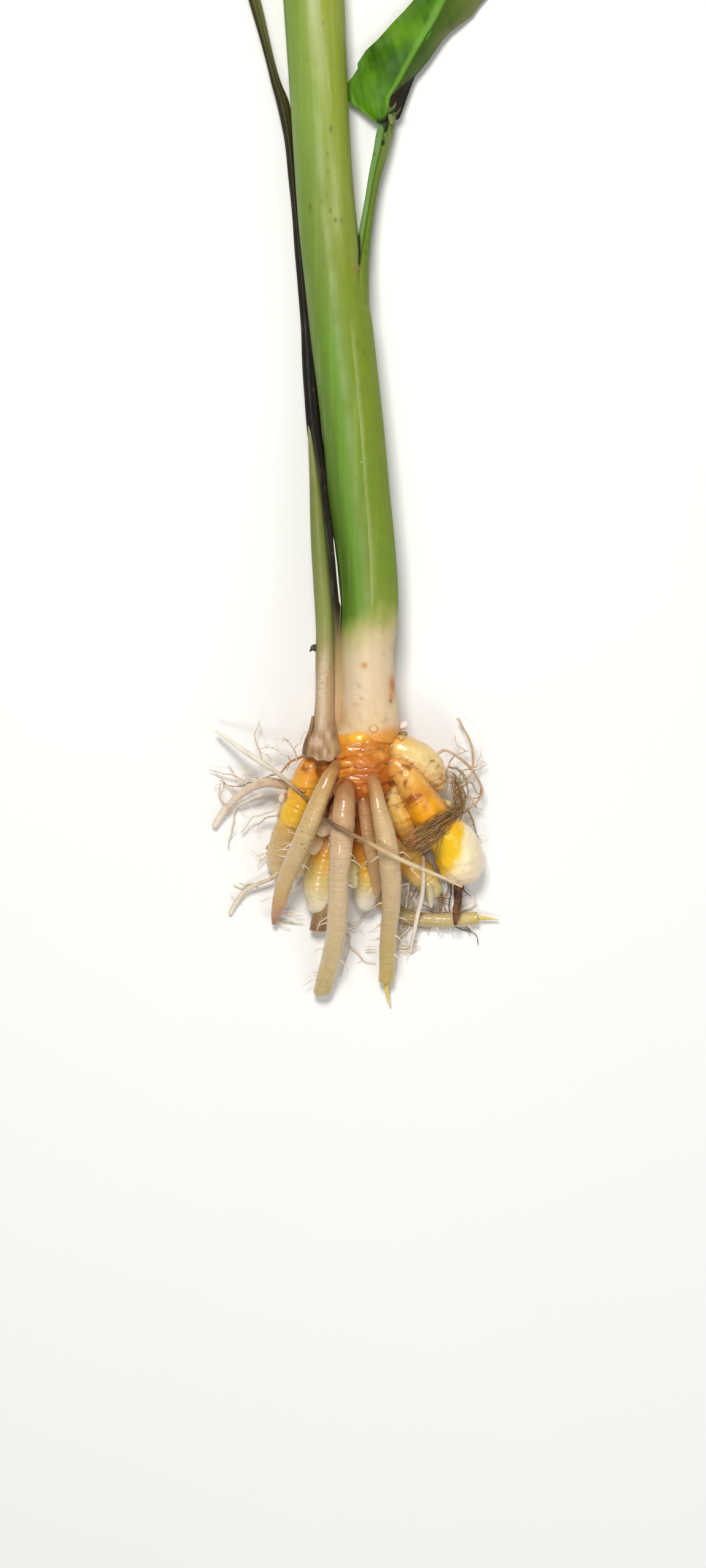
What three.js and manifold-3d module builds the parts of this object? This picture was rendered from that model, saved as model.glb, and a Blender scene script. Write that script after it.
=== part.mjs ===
// A freshly dug turmeric plant, trimmed and laid on its back: the rhizome with its fingers, the fleshy storage
// roots and stronger fibrous roots, the main shoot with its outermost leaf, and a thin side shoot.
// Millimetres. +Y runs up the shoots, +X to the plant's right, +Z away from the resting surface.
// The origin is on the flat that the heel finger rests on, straight below the crown.

import * as THREE from "three";
import { mergeVertices } from "three/addons/utils/BufferGeometryUtils.js";
import Module from "manifold-3d";

const wasm = await Module();
wasm.setup();

// Driving dimensions
const TRIM_Y = 298; // the shoots and the leaf are trimmed square at this height
const PAST = 2; // how far the routes run on past the trim, so that the cut is clean
const GAP = 0.3; // clearance left between pieces that grew against each other
const SHEATH = 1.4; // wall of the outermost leaf's sheath
const SHEATH_CLEAR = 0.6; // from the stem's surface to the sheath's inner face
const SCALE_WALL = 0.7; // wall of the dry scale round the side shoot
const SCALE_CLEAR = 0.6; // from the side shoot's surface to the scale's inner face
const BLADE = 0.8; // thickness of the leaf blade
const CUT_BLOCK = 900; // side of the blocks that cut everything off below the surface and past the trim

// Every route below is a list of stations: x, y, z and the radius there. A fifth number, where there is one, is
// the radius across z.

const CROWN = [
  [5, 21, 22, 8],
  [4.5, 14, 21.5, 12.2],
  [4, 6, 20.5, 13.6],
  [4, -2, 19.5, 13.2],
  [4, -8, 19, 10.8],
  [4, -12, 18.5, 6],
];

const FINGERS = {
  left_lobe: [
    [4, 2, 20, 8],
    [-5, 3, 21, 7.6],
    [-11, 2, 21, 6],
  ],
  left: [
    [-12, 3, 22, 5.6],
    [-16, -5, 20, 5.6],
    [-19.3, -13, 16.5, 5.4],
    [-22.5, -21, 12.5, 5.2],
    [-25.3, -29, 7.6, 4.8],
    [-26.9, -35, 3.5, 3.7],
  ],
  lower_left: [
    [-6, -12, 17, 4],
    [-10, -20, 14, 4.4],
    [-13, -26, 11, 4.6],
    [-16, -31.5, 8, 4.2],
    [-18.5, -36, 6, 2.8],
  ],
  lower_middle: [
    [-2, -9, 17, 5],
    [-6, -20, 14.5, 5.3],
    [-9.5, -32, 10, 5.6],
    [-11.2, -41, 7, 5.4],
    [-11, -48, 5.2, 3.8],
  ],
  lower_right: [
    [4, -9, 18, 5],
    [5.6, -22, 16, 5.6],
    [6.4, -32, 12, 5.8],
    [6.8, -41, 8.5, 5.4],
    [6, -48, 6, 3.8],
  ],
  lower_right_bud: [
    [4.5, -29, 13, 2.6],
    [1.6, -35.5, 13, 3.2],
    [2.2, -41, 11.5, 2.4],
  ],
  bulb: [
    [12, 2, 23, 5],
    [16.5, -1.5, 24.5, 5.4],
    [21, -8, 24.5, 6.2],
    [26.5, -14.5, 22.5, 7.2],
    [32, -20.5, 18.5, 7.2],
    [37, -26.5, 13.5, 8],
    [41, -31, 9.5, 9.7],
    [44.5, -36.5, 8.4, 7.6],
    [46.5, -40, 8, 4.6],
  ],
  upper_right: [
    [12, 9, 22, 4.6],
    [16.5, 8.6, 23, 4.8],
    [23, 8.4, 23, 5],
    [28, 4.6, 21.5, 5.2],
    [31.3, -0.4, 19, 4.8],
    [33.3, -5, 17, 3.4],
  ],
  inner_right: [
    [11, -5, 21, 3.6],
    [14.8, -8, 22, 3.6],
    [17.8, -14.5, 19.5, 3.7],
    [21, -21, 16.5, 3.8],
    [23.3, -25.5, 14.5, 3],
  ],
  rear_right: [
    [13, -20, 11, 5],
    [20, -30, 8.5, 5.2],
    [27, -38, 7, 5.2],
    [31, -43.5, 6, 3.6],
  ],
  heel: [
    [4, 12, 17, 7],
    [2, 5, 7.4, 7.6],
    [0, -3, 6.6, 7.2],
    [-3, -13, 6, 6.3],
    [-5, -23, 6.5, 4.6],
  ],
  under_right: [
    [8, 2, 14, 6.5],
    [16, -6, 8, 6.4],
    [22, -15, 5.6, 5.8],
    [26, -24, 5.6, 4.2],
  ],
};

const BUDS = {
  by_stem: [
    [15, 15, 19, 1.8],
    [22.4, 17.2, 19, 2],
  ],
  by_stem_small: [
    [15, 12, 18, 1.8],
    [24, 14.4, 17, 1.6],
  ],
  middle: [
    [-5, -15, 19, 2.2],
    [-10, -21.5, 20.5, 2.6],
  ],
  lower: [
    [-8, -22, 14, 2],
    [-12.5, -27.4, 17, 2.4],
  ],
  left_upper: [
    [-17, -7, 18, 2.6],
    [-23, -9.5, 17, 2.2],
  ],
  left_lower: [
    [-20, -14, 15, 2],
    [-25.4, -17, 13, 1.5],
  ],
  right: [
    [30, 0, 19.5, 2.5],
    [36.8, -2.6, 17, 2],
  ],
};

const STORAGE_ROOTS = {
  storage_root_left: [
    [-4.6, 2.4, 31, 2.6],
    [-6.7, -1, 33.5, 2.8],
    [-9.8, -8, 34.5, 3.3],
    [-13.7, -17.8, 32, 3.6],
    [-18, -27.4, 26, 3.6],
    [-21.7, -35.5, 19, 3.4],
    [-24.5, -43.5, 12.5, 3],
    [-26.4, -50, 7, 2.5],
    [-27.2, -53.5, 4.6, 1.6],
  ],
  storage_root_centre: [
    [-0.6, -4, 30, 3.2],
    [-1.4, -8, 34.5, 3.9],
    [-2.3, -17.8, 37, 4.3],
    [-3, -27.4, 35.5, 4.2],
    [-3.6, -37, 31.5, 3.7],
    [-3.9, -46.7, 26, 3.6],
    [-4.8, -58, 18.5, 3.6],
    [-6.4, -67.6, 11.5, 3.6],
    [-8.7, -76.4, 6, 3.4],
    [-10.2, -83, 3.7, 3.2],
  ],
  storage_root_right: [
    [8, -1, 29, 2.4],
    [9.2, -5, 32.5, 2.7],
    [10.8, -13, 35, 3.1],
    [13, -22.6, 34.5, 4.1],
    [14.6, -32, 30.5, 4.1],
    [15.4, -42, 25, 3.7],
    [15.3, -50, 20, 3.3],
    [14.6, -58, 14.5, 3.2],
    [14.2, -67.6, 8.5, 3.1],
    [13.8, -77.2, 4.2, 2.9],
  ],
  storage_root_rear: [
    [5, -8, 27, 2.4],
    [5.8, -15, 27.5, 2.6],
    [6.8, -22, 26, 2.6],
    [8, -29, 22.5, 2.5],
    [9.5, -37, 18.2, 2.3],
    [10.2, -44, 14, 1.5],
  ],
  storage_root_low: [
    [7, -41, 7, 2.4],
    [12, -48, 4.2, 2.7],
    [19, -52.6, 3.1, 2.7],
    [27, -54.3, 3.1, 2.7],
    [37, -54.8, 3.1, 2.7],
    [48.2, -54, 3.1, 2.6],
  ],
  storage_root_dead: [
    [42, -35, 8, 2],
    [40.6, -42, 8.4, 2.2],
    [40.2, -47.5, 8.8, 1.9],
    [39.4, -54, 9, 1.4],
    [39.2, -56.4, 8.8, 0.9],
  ],
  storage_root_stub: [
    [-9, -44, 5.2, 3.4],
    [-9.5, -51, 4.9, 4],
    [-11.8, -59, 4.4, 3.2],
  ],
  storage_root_young: [
    [28.5, -38, 9, 1.6],
    [29.9, -44, 10, 1.6],
    [30.2, -50, 8.4, 0.7],
  ],
};

// The bared core that stands out of a snapped storage root.
const CORES = {
  storage_root_right: [
    [13.9, -73, 5, 0.8],
    [13.9, -78, 4, 0.8],
    [14.3, -82.5, 2.8, 0.7],
    [15.7, -87.5, 1, 0.5],
  ],
  storage_root_low: [
    [45, -54, 3.1, 0.8],
    [51, -54.2, 3, 0.7],
    [55.3, -54.8, 2.2, 0.5],
  ],
};
const SNAPPED = ["storage_root_centre", "storage_root_right", "storage_root_low", "storage_root_stub"];

const FIBROUS_ROOTS = {
  fibrous_root_left: [
    [-19, -4.6, 17, 1.9],
    [-24, -4.5, 16, 1.9],
    [-29.7, -3.7, 13, 1.9],
    [-35.4, -5.3, 9.4, 1.8],
    [-41, -8.9, 6.4, 1.7],
    [-45.8, -13.7, 4, 1.6],
    [-50.2, -20.2, 2, 1.3],
  ],
  fibrous_root_upper_left: [
    [-14.5, -10.5, 25.5, 0.6],
    [-20, -5.7, 25, 0.6],
    [-25.3, -0.9, 22, 0.8],
    [-31.3, 3.1, 18, 1.1],
    [-39.4, 8.4, 12.5, 1.1],
    [-49, 15.2, 6, 0.9],
  ],
  fibrous_root_lower_left: [
    [-24, -33, 7.5, 0.8],
    [-28, -38.6, 6, 0.9],
    [-33, -41, 4.6, 0.9],
    [-38.2, -43.5, 3.4, 1],
    [-41.4, -47.5, 2.2, 1.1],
    [-44.2, -52.3, 1.2, 0.8],
  ],
  fibrous_root_crossing: [
    [-7.4, -12.5, 25, 0.6],
    [-7.9, -15.6, 32, 0.6],
    [-8, -17, 38, 0.6],
    [-5.6, -18.9, 41.9, 0.8],
    [-1, -21.4, 43.2, 0.9],
    [6.4, -25, 42, 0.9],
    [13.7, -29, 39.4, 0.95],
    [20.9, -32.6, 34, 0.95],
    [28.9, -36.2, 25, 0.9],
    [35.4, -39, 19.8, 0.8],
    [41.5, -42, 16.6, 0.6],
  ],
  fibrous_root_flat: [
    [27.3, -31.4, 12, 0.8],
    [27.2, -38, 14, 0.9],
    [26.5, -46, 11, 0.9],
    [24.9, -54, 8, 1],
    [23.7, -61, 4.4, 0.9],
    [23.1, -66.4, 1.6, 0.7],
  ],
  fibrous_root_hooped: [
    [31, 5.6, 20, 0.6],
    [35, 8, 17, 0.6],
    [41.4, 4.7, 13, 0.6],
    [45.8, 0.3, 10, 0.6],
    [49.8, -6.5, 7.5, 0.6],
    [47.4, -10.9, 7.5, 0.6],
    [42.6, -15, 8.5, 0.6],
  ],
  fibrous_root_upper_right: [
    [35, -3.4, 16, 0.6],
    [41.4, -3.7, 14.4, 0.6],
    [45.4, 1.4, 12.2, 0.55],
    [45.8, 5.5, 11, 0.55],
    [44.8, 11.2, 9, 0.5],
    [43, 16.8, 6, 0.5],
    [41, 22.3, 2, 0.5],
  ],
};

const MAIN_STEM = [
  [7, 12, 22, 11],
  [7.4, 20, 21.9, 10.9],
  [7, 31, 21.5, 9.9],
  [6.5, 42, 21, 9.7],
  [6.6, 62, 20.2, 9.7],
  [5, 82, 19.3, 10],
  [2.7, 102, 18.5, 10.4],
  [0.8, 122, 17.7, 10.5],
  [-1.5, 142, 17, 10.6],
  [-3.6, 160, 16.3, 10.7],
  [-5.8, 182, 15.4, 10.8],
  [-7.9, 200, 14.6, 10.6],
  [-9.7, 223, 13.5, 10.3],
  [-11.3, 251, 12.5, 10.5],
  [-13.1, 283, 11.5, 11],
  [-14.1, TRIM_Y + PAST, 11.3, 11.2],
];

// The sheath follows the main stem between these heights. Its two edges are angles about the stem, from +X
// towards +Z: the front edge lies a little to the right of the stem's crest, and the sheath goes round the back.
const SHEATH_FOOT_Y = 22;
const SHEATH_TOP_Y = 183;
const SHEATH_FRONT = THREE.MathUtils.degToRad(77);
const SHEATH_BACK = THREE.MathUtils.degToRad(-150);

const PETIOLE = [
  [5, 164, 16, 1.6],
  [5.4, 178, 15, 2.2],
  [6, 191, 13.6, 2.4],
  [6.9, 203, 12.6, 2.3],
  [8.2, 215, 11.2, 2.1],
  [10.4, 224, 9.8, 2.2],
  [13.2, 234, 8.4, 2.4],
  [16, 241, 7.6, 2.3],
  [20, 252, 8, 1.6],
];

// The blade's midrib and its two edges, foot to trim.
const MIDRIB = [
  [14.6, 240.6, 8.6],
  [18.2, 252.6, 10.4],
  [23, 262.4, 11.6],
  [30.9, 275, 12],
  [36, 283.7, 11.6],
  [45, TRIM_Y + PAST, 10],
];
const LEFT_EDGE = [
  [-0.2, 248, 3.4],
  [0, 255.4, 3.6],
  [3.6, 262, 4],
  [11.2, 271.2, 3.4],
  [21.6, 283.7, 2.4],
  [33.6, TRIM_Y + PAST, 1.6],
];
const RIGHT_EDGE = [
  [18.8, 242.6, 4],
  [24.4, 257.4, 5],
  [29.7, 263.8, 5],
  [36.5, 273.3, 4],
  [48, 283.7, 2.6],
  [62.6, TRIM_Y + PAST, 1.2],
];

const SIDE_SHOOT = [
  [-9, 4.6, 25, 5.6],
  [-9.1, 8, 25.3, 7.4],
  [-9.9, 16, 25.6, 5.4],
  [-9, 23, 25.2, 4.4],
  [-8, 32, 24.6, 4.3],
  [-7.6, 42, 24, 4.6],
  [-8.2, 62, 22.4, 4.5],
  [-9.9, 82, 20.6, 4.1],
  [-11.2, 102, 18.6, 3.7],
  [-12.9, 122, 16.4, 3.2],
  [-14.4, 142, 14.2, 2.7],
  [-15.6, 160, 12.4, 2.3],
  [-16.8, 180, 10.6, 2],
  [-19.2, 203, 8.6, 1.8],
  [-20.8, 219, 7.4, 1.7],
  [-22.6, 238, 6.2, 1.8],
  [-24.4, 248, 5.6, 2],
  [-28.6, 264, 4.8, 2.1],
  [-33.8, 283.7, 3.8, 2.4],
  [-38.2, TRIM_Y + PAST, 3.2, 2.5],
];
const SCALE_FOOT_Y = 6;
const SCALE_TOP_Y = 36;
const SCALE_FRONT = THREE.MathUtils.degToRad(118);
const SCALE_BACK = THREE.MathUtils.degToRad(268);

// Shapes

const FULL_TURN = Math.PI * 2;

// A smooth curve through the stations, and the radii along it at the same parameter.
function stationCurve(stations) {
  const route = new THREE.CatmullRomCurve3(
    stations.map(([x, y, z]) => new THREE.Vector3(x, y, z)),
    false,
    "centripetal",
  );
  const across = new THREE.SplineCurve(
    stations.map(([, , , r, rz]) => new THREE.Vector2(r, rz ?? r)),
  );
  return { route, across };
}

// The section's own directions at a point of the route: sideways on the surface, and up from it.
function sectionAxes(route, t) {
  const along = route.getTangent(t);
  const side = new THREE.Vector3().crossVectors(along, new THREE.Vector3(0, 0, 1)).normalize();
  const up = new THREE.Vector3().crossVectors(side, along).normalize();
  return { along, side, up };
}

function geometryFrom(positions, indices) {
  const geometry = new THREE.BufferGeometry();
  geometry.setAttribute("position", new THREE.Float32BufferAttribute(positions, 3));
  geometry.setIndex(indices);
  return geometry;
}

// A closed tapering limb through the stations, with round ends, or a flat far end where it was cut or snapped.
function limb(stations, { sides = 12, steps = 12, grow = 0, cut = false, cutFoot = false } = {}) {
  const { route, across } = stationCurve(stations);
  const rings = [];
  const dome = [
    [0.85, 0.5],
    [0.5, 0.85],
  ];
  const ringAt = (t, shrink, beyond) => {
    const { along, side, up } = sectionAxes(route, t);
    const size = across.getPoint(t);
    const centre = route.getPoint(t).addScaledVector(along, beyond * (size.x + grow));
    return { centre, side, up, rx: (size.x + grow) * shrink, rz: (size.y + grow) * shrink };
  };
  if (!cutFoot) for (const [out, shrink] of dome) rings.push(ringAt(0, shrink, -out));
  for (let i = 0; i <= steps; i++) rings.push(ringAt(i / steps, 1, 0));
  if (!cut) for (const [out, shrink] of [...dome].reverse()) rings.push(ringAt(1, shrink, out));
  const positions = [];
  for (const { centre, side, up, rx, rz } of rings)
    for (let k = 0; k < sides; k++) {
      const a = (k / sides) * FULL_TURN;
      const p = centre.clone().addScaledVector(side, rx * Math.cos(a)).addScaledVector(up, rz * Math.sin(a));
      positions.push(p.x, p.y, p.z);
    }
  const poleFoot = ringAt(0, 0, cutFoot ? 0 : -1).centre;
  const poleTip = ringAt(1, 0, cut ? 0 : 1).centre;
  positions.push(poleFoot.x, poleFoot.y, poleFoot.z, poleTip.x, poleTip.y, poleTip.z);
  const foot = rings.length * sides;
  const indices = [];
  for (let k = 0; k < sides; k++) {
    const next = (k + 1) % sides;
    indices.push(foot, k, next);
    for (let j = 0; j + 1 < rings.length; j++) {
      const a = j * sides;
      const b = a + sides;
      indices.push(a + k, b + k, a + next, a + next, b + k, b + next);
    }
    const last = (rings.length - 1) * sides;
    indices.push(foot + 1, last + next, last + k);
  }
  return geometryFrom(positions, indices);
}

// The route parameter at a height up the plant.
function parameterAt(route, y) {
  let low = 0;
  let high = 1;
  for (let i = 0; i < 40; i++) {
    const middle = (low + high) / 2;
    if (route.getPoint(middle).y < y) low = middle;
    else high = middle;
  }
  return low;
}

// A wall that goes part of the way round a limb: an outer and an inner arc at each ring, joined along both edges.
function wrap(stations, { from, to, yFoot, yTop, inner, wall, arc = 12, steps = 12 }) {
  const { route, across } = stationCurve(stations);
  const t0 = parameterAt(route, yFoot);
  const t1 = parameterAt(route, yTop);
  const positions = [];
  const loop = 2 * (arc + 1);
  for (let j = 0; j <= steps; j++) {
    const t = t0 + ((t1 - t0) * j) / steps;
    const { side, up } = sectionAxes(route, t);
    const centre = route.getPoint(t);
    const size = across.getPoint(t);
    for (let k = 0; k < loop; k++) {
      const outside = k <= arc;
      const share = outside ? k / arc : (loop - 1 - k) / arc;
      const a = from + (to - from) * share;
      const extra = inner + (outside ? wall : 0);
      const p = centre
        .clone()
        .addScaledVector(side, (size.x + extra) * Math.cos(a))
        .addScaledVector(up, (size.y + extra) * Math.sin(a));
      positions.push(p.x, p.y, p.z);
    }
  }
  const indices = [];
  for (let j = 0; j < steps; j++)
    for (let k = 0; k < loop; k++) {
      const a = j * loop + k;
      const b = j * loop + ((k + 1) % loop);
      indices.push(a, a + loop, b, b, a + loop, b + loop);
    }
  for (let k = 0; k < arc; k++) {
    const opposite = loop - 1 - k;
    const far = steps * loop;
    indices.push(k, k + 1, opposite, k + 1, opposite - 1, opposite);
    indices.push(far + k, far + opposite, far + k + 1, far + k + 1, far + opposite, far + opposite - 1);
  }
  return geometryFrom(positions, indices);
}

// The leaf blade: a thin plate that bends down on both sides of its midrib.
function bladeGeometry() {
  const curve = (points) => new THREE.CatmullRomCurve3(points.map((p) => new THREE.Vector3(...p)), false, "centripetal");
  const [left, middle, right] = [LEFT_EDGE, MIDRIB, RIGHT_EDGE].map(curve);
  const rows = 12;
  const half = 5;
  const columns = 2 * half + 1;
  const layer = (rows + 1) * columns;
  const positions = [];
  for (const lift of [BLADE, 0])
    for (let j = 0; j <= rows; j++) {
      const t = j / rows;
      for (let k = 0; k < columns; k++) {
        const across = (k - half) / half;
        const edge = (across < 0 ? left : right).getPoint(t);
        const share = Math.abs(across);
        const p = middle.getPoint(t).lerp(edge, share);
        const bow = Math.sin(share * Math.PI) * 1.2;
        positions.push(p.x, p.y, p.z + lift + bow);
      }
    }
  const indices = [];
  const quad = (a, b, c, d) => indices.push(a, b, c, a, c, d);
  for (let j = 0; j < rows; j++)
    for (let k = 0; k < columns - 1; k++) {
      const a = j * columns + k;
      quad(a, a + 1, a + columns + 1, a + columns);
      quad(layer + a, layer + a + columns, layer + a + columns + 1, layer + a + 1);
    }
  for (let k = 0; k < columns - 1; k++) {
    const far = rows * columns + k;
    quad(k, layer + k, layer + k + 1, k + 1);
    quad(far, far + 1, layer + far + 1, layer + far);
  }
  for (let j = 0; j < rows; j++) {
    const a = j * columns;
    const b = a + columns - 1;
    quad(a, a + columns, layer + a + columns, layer + a);
    quad(b, layer + b, layer + b + columns, b + columns);
  }
  return geometryFrom(positions, indices);
}

// Joining and cutting

function solidOf(geometry) {
  const bare = geometry.clone();
  for (const name of Object.keys(bare.attributes)) if (name !== "position") bare.deleteAttribute(name);
  const merged = mergeVertices(bare, 1e-4);
  return new wasm.Manifold(
    new wasm.Mesh({
      numProp: 3,
      vertProperties: new Float32Array(merged.attributes.position.array),
      triVerts: new Uint32Array(merged.index.array),
    }),
  );
}

function geometryOf(solid) {
  const { numProp, vertProperties, triVerts } = solid.getMesh();
  const positions = [];
  for (let i = 0; i < vertProperties.length; i += numProp)
    positions.push(vertProperties[i], vertProperties[i + 1], vertProperties[i + 2]);
  const geometry = geometryFrom(positions, Array.from(triVerts));
  geometry.computeVertexNormals();
  return geometry;
}

// What is left after a cut can hold loose slivers: the piece is the largest of them.
function largest(solid) {
  return solid.decompose().reduce((a, b) => (a.volume() >= b.volume() ? a : b));
}

const cutBlock = (x, y, z) => solidOf(new THREE.BoxGeometry(CUT_BLOCK, CUT_BLOCK, CUT_BLOCK).translate(x, y, z));
const belowGround = cutBlock(0, 0, -CUT_BLOCK / 2);
const pastTrim = cutBlock(0, TRIM_Y + CUT_BLOCK / 2, 0);

function rhizomeSolid(grow) {
  const limbs = [
    limb(CROWN, { sides: 14, steps: 6, grow }),
    ...Object.values(FINGERS).map((stations) => limb(stations, { sides: 10, steps: stations.length, grow })),
    ...Object.values(BUDS).map((stations) => limb(stations, { sides: 6, steps: 1, grow })),
  ];
  return limbs.map(solidOf).reduce((a, b) => a.add(b));
}

function rootSolid(name, stations, sides) {
  const steps = Math.round(stations.length * 1.4);
  const body = solidOf(limb(stations, { sides, steps, cut: SNAPPED.includes(name) }));
  return CORES[name] ? body.add(solidOf(limb(CORES[name], { sides: 5, steps: 3 }))) : body;
}

// Materials

const finish = (color, roughness) => new THREE.MeshStandardMaterial({ color, roughness, metalness: 0 });
const RHIZOME_SKIN = finish(0xd98f2e, 0.4);
const STORAGE_SKIN = finish(0xc6a679, 0.5);
const DEAD_SKIN = finish(0x4a2f1c, 0.7);
const FIBRE_SKIN = finish(0xc9bca6, 0.65);
const STEM_GREEN = finish(0x86a045, 0.45);
const LEAF_GREEN = finish(0x6f8a34, 0.45);
const SHOOT_GREEN = finish(0x93965a, 0.55);
const SCALE_BROWN = finish(0x7a6048, 0.8);

// The pieces, from the middle outwards. Each is cut back from the ones before it that it grew against.

const plant = new THREE.Group();
function addPiece(name, solid, material) {
  const trimmed = solid.subtract(belowGround).subtract(pastTrim);
  const mesh = new THREE.Mesh(geometryOf(largest(trimmed)), material);
  mesh.name = name;
  plant.add(mesh);
}

const rhizomeRoom = rhizomeSolid(GAP);
addPiece("rhizome", rhizomeSolid(0), RHIZOME_SKIN);

const stemSolid = (grow) => solidOf(limb(MAIN_STEM, { sides: 18, steps: 16, grow, cut: true, cutFoot: true }));
const stemRoom = stemSolid(GAP);
addPiece("main_stem", stemSolid(0).subtract(rhizomeRoom), STEM_GREEN);

// The wrap's inner face is laid clear of the stem, so only the petiole is cut back from it.
const sheathShape = { from: SHEATH_BACK, to: SHEATH_FRONT, yFoot: SHEATH_FOOT_Y, yTop: SHEATH_TOP_Y };
const sheath = solidOf(wrap(MAIN_STEM, { ...sheathShape, inner: SHEATH_CLEAR, wall: SHEATH }));
const sheathRoom = solidOf(wrap(MAIN_STEM, { ...sheathShape, inner: 0, wall: SHEATH_CLEAR + SHEATH + GAP }));
const petiole = solidOf(limb(PETIOLE, { sides: 10, steps: 9 })).subtract(stemRoom);
const blade = solidOf(bladeGeometry()).subtract(stemRoom);
addPiece("outer_leaf", sheath.add(petiole).add(blade).subtract(rhizomeRoom), LEAF_GREEN);

const sideShoot = solidOf(limb(SIDE_SHOOT, { sides: 12, steps: 20, cut: true, cutFoot: true }));
addPiece("side_shoot", sideShoot.subtract(stemRoom).subtract(sheathRoom).subtract(rhizomeRoom), SHOOT_GREEN);

const scaleShape = { from: SCALE_FRONT, to: SCALE_BACK, yFoot: SCALE_FOOT_Y, yTop: SCALE_TOP_Y };
const scale = solidOf(wrap(SIDE_SHOOT, { ...scaleShape, inner: SCALE_CLEAR, wall: SCALE_WALL, arc: 8, steps: 6 }));
addPiece("base_scale", scale.subtract(stemRoom).subtract(rhizomeRoom), SCALE_BROWN);

for (const [name, stations] of Object.entries(STORAGE_ROOTS)) {
  const skin = name === "storage_root_dead" ? DEAD_SKIN : STORAGE_SKIN;
  addPiece(name, rootSolid(name, stations, 10).subtract(rhizomeRoom), skin);
}
for (const [name, stations] of Object.entries(FIBROUS_ROOTS))
  addPiece(name, rootSolid(name, stations, 6).subtract(rhizomeRoom), FIBRE_SKIN);

export default plant;
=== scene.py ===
"""A freshly dug turmeric plant, trimmed and laid on its back: a ringed rhizome, its fleshy storage roots and
fibrous roots, the main shoot with its outermost leaf, and a thin side shoot.

Shapes are worked out in millimetres, +Y up the shoots and +Z away from the ground, and become metres where a
mesh is made. A limb is a profile carried along a route; a sheet is a function of two parameters on a grid.
"""

import math

import bpy
import numpy as np
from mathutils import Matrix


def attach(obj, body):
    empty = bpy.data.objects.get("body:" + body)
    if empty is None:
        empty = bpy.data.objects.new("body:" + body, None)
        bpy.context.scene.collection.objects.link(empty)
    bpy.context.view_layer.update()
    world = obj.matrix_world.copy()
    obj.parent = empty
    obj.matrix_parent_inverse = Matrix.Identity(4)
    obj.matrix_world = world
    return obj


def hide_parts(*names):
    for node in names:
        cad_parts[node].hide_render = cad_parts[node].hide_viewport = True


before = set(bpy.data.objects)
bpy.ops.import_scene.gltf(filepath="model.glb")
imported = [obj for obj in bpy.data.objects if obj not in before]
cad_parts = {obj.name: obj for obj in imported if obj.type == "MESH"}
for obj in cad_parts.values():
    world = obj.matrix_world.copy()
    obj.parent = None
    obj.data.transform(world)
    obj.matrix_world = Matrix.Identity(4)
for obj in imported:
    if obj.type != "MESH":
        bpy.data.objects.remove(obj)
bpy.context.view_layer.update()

MM = 0.001
TRIM_Y = 298.0  # the shoots and the leaf are trimmed square at this height
VIEW = (1.46, -4.3, 1215.0)  # where the camera is; it looks straight down
LOWEST = 0.02  # nothing of the plant is lower than this
FULL_TURN = 2 * math.pi

# ---- Curves, fields and noise ----


def ease(low, high, value):
    """0 below low, 1 above high, and 3t^2 - 2t^3 in between. High may be the smaller of the two."""
    t = np.clip((np.asarray(value, float) - low) / (high - low), 0, 1)
    return t * t * (3 - 2 * t)


def bump(value, centre, width):
    """A bell of height 1 at centre: exp(-((value - centre) / width)^2)."""
    return np.exp(-(((value - centre) / width) ** 2))


def mix(a, b, share):
    """a where share is 0 and b where it is 1; share may be one number for each row of a and b."""
    a, b, share = (np.asarray(part, float) for part in (a, b, share))
    if max(a.ndim, b.ndim) > share.ndim:
        share = share[..., None]
    return a + (b - a) * share


def together(*parts):
    """Numbers or arrays as one array of points, on a new last axis."""
    return np.stack(np.broadcast_arrays(*parts), axis=-1)


def distances(points):
    """How far along a polyline each of its points lies."""
    return np.concatenate([[0], np.cumsum(np.linalg.norm(np.diff(points, axis=0), axis=1))])


def read_rows(at, along, rows):
    """The rows at those distances, in a straight line between rows that lie at the distances along."""
    return np.stack([np.interp(at, along, column) for column in np.transpose(rows)], axis=-1)


def grow_route(stations, step):
    """Even steps along a smooth curve through stations of x, y, z and any widths.

    The knots are the sums of the square roots of the chords, the slopes are second-order differences over the
    knots, and each stretch is the cubic Hermite curve of its two ends. Returns the rows and their distances.
    """
    rows = np.asarray(stations, float)
    chords = np.linalg.norm(np.diff(rows[:, :3], axis=0), axis=1)
    knots = np.concatenate([[0], np.cumsum(np.sqrt(np.maximum(chords, 1e-6)))])
    slopes = np.gradient(rows, knots, axis=0)
    u = np.linspace(0, knots[-1], 30 * len(rows))
    i = np.clip(np.searchsorted(knots, u, side="right") - 1, 0, len(rows) - 2)
    width = (knots[i + 1] - knots[i])[:, None]
    t = (u - knots[i])[:, None] / width
    fine = (
        (2 * t**3 - 3 * t**2 + 1) * rows[i]
        + (t**3 - 2 * t**2 + t) * width * slopes[i]
        + (3 * t**2 - 2 * t**3) * rows[i + 1]
        + (t**3 - t**2) * width * slopes[i + 1]
    )
    far = distances(fine[:, :3])
    along = np.linspace(0, far[-1], max(4, int(round(far[-1] / step)) + 1))
    return read_rows(along, far, fine), along


def level_axes(points):
    """Axes across a route that stay level: side is the tangent crossed with straight up, over is side crossed
    with the tangent. An angle runs from side towards over, so a quarter turn faces up."""
    tangent = np.gradient(points, axis=0)
    tangent /= np.linalg.norm(tangent, axis=1)[:, None]
    side = np.cross(tangent, [0.0, 0.0, 1.0])
    side /= np.maximum(np.linalg.norm(side, axis=1), 1e-9)[:, None]
    return tangent, side, np.cross(side, tangent)


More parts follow.
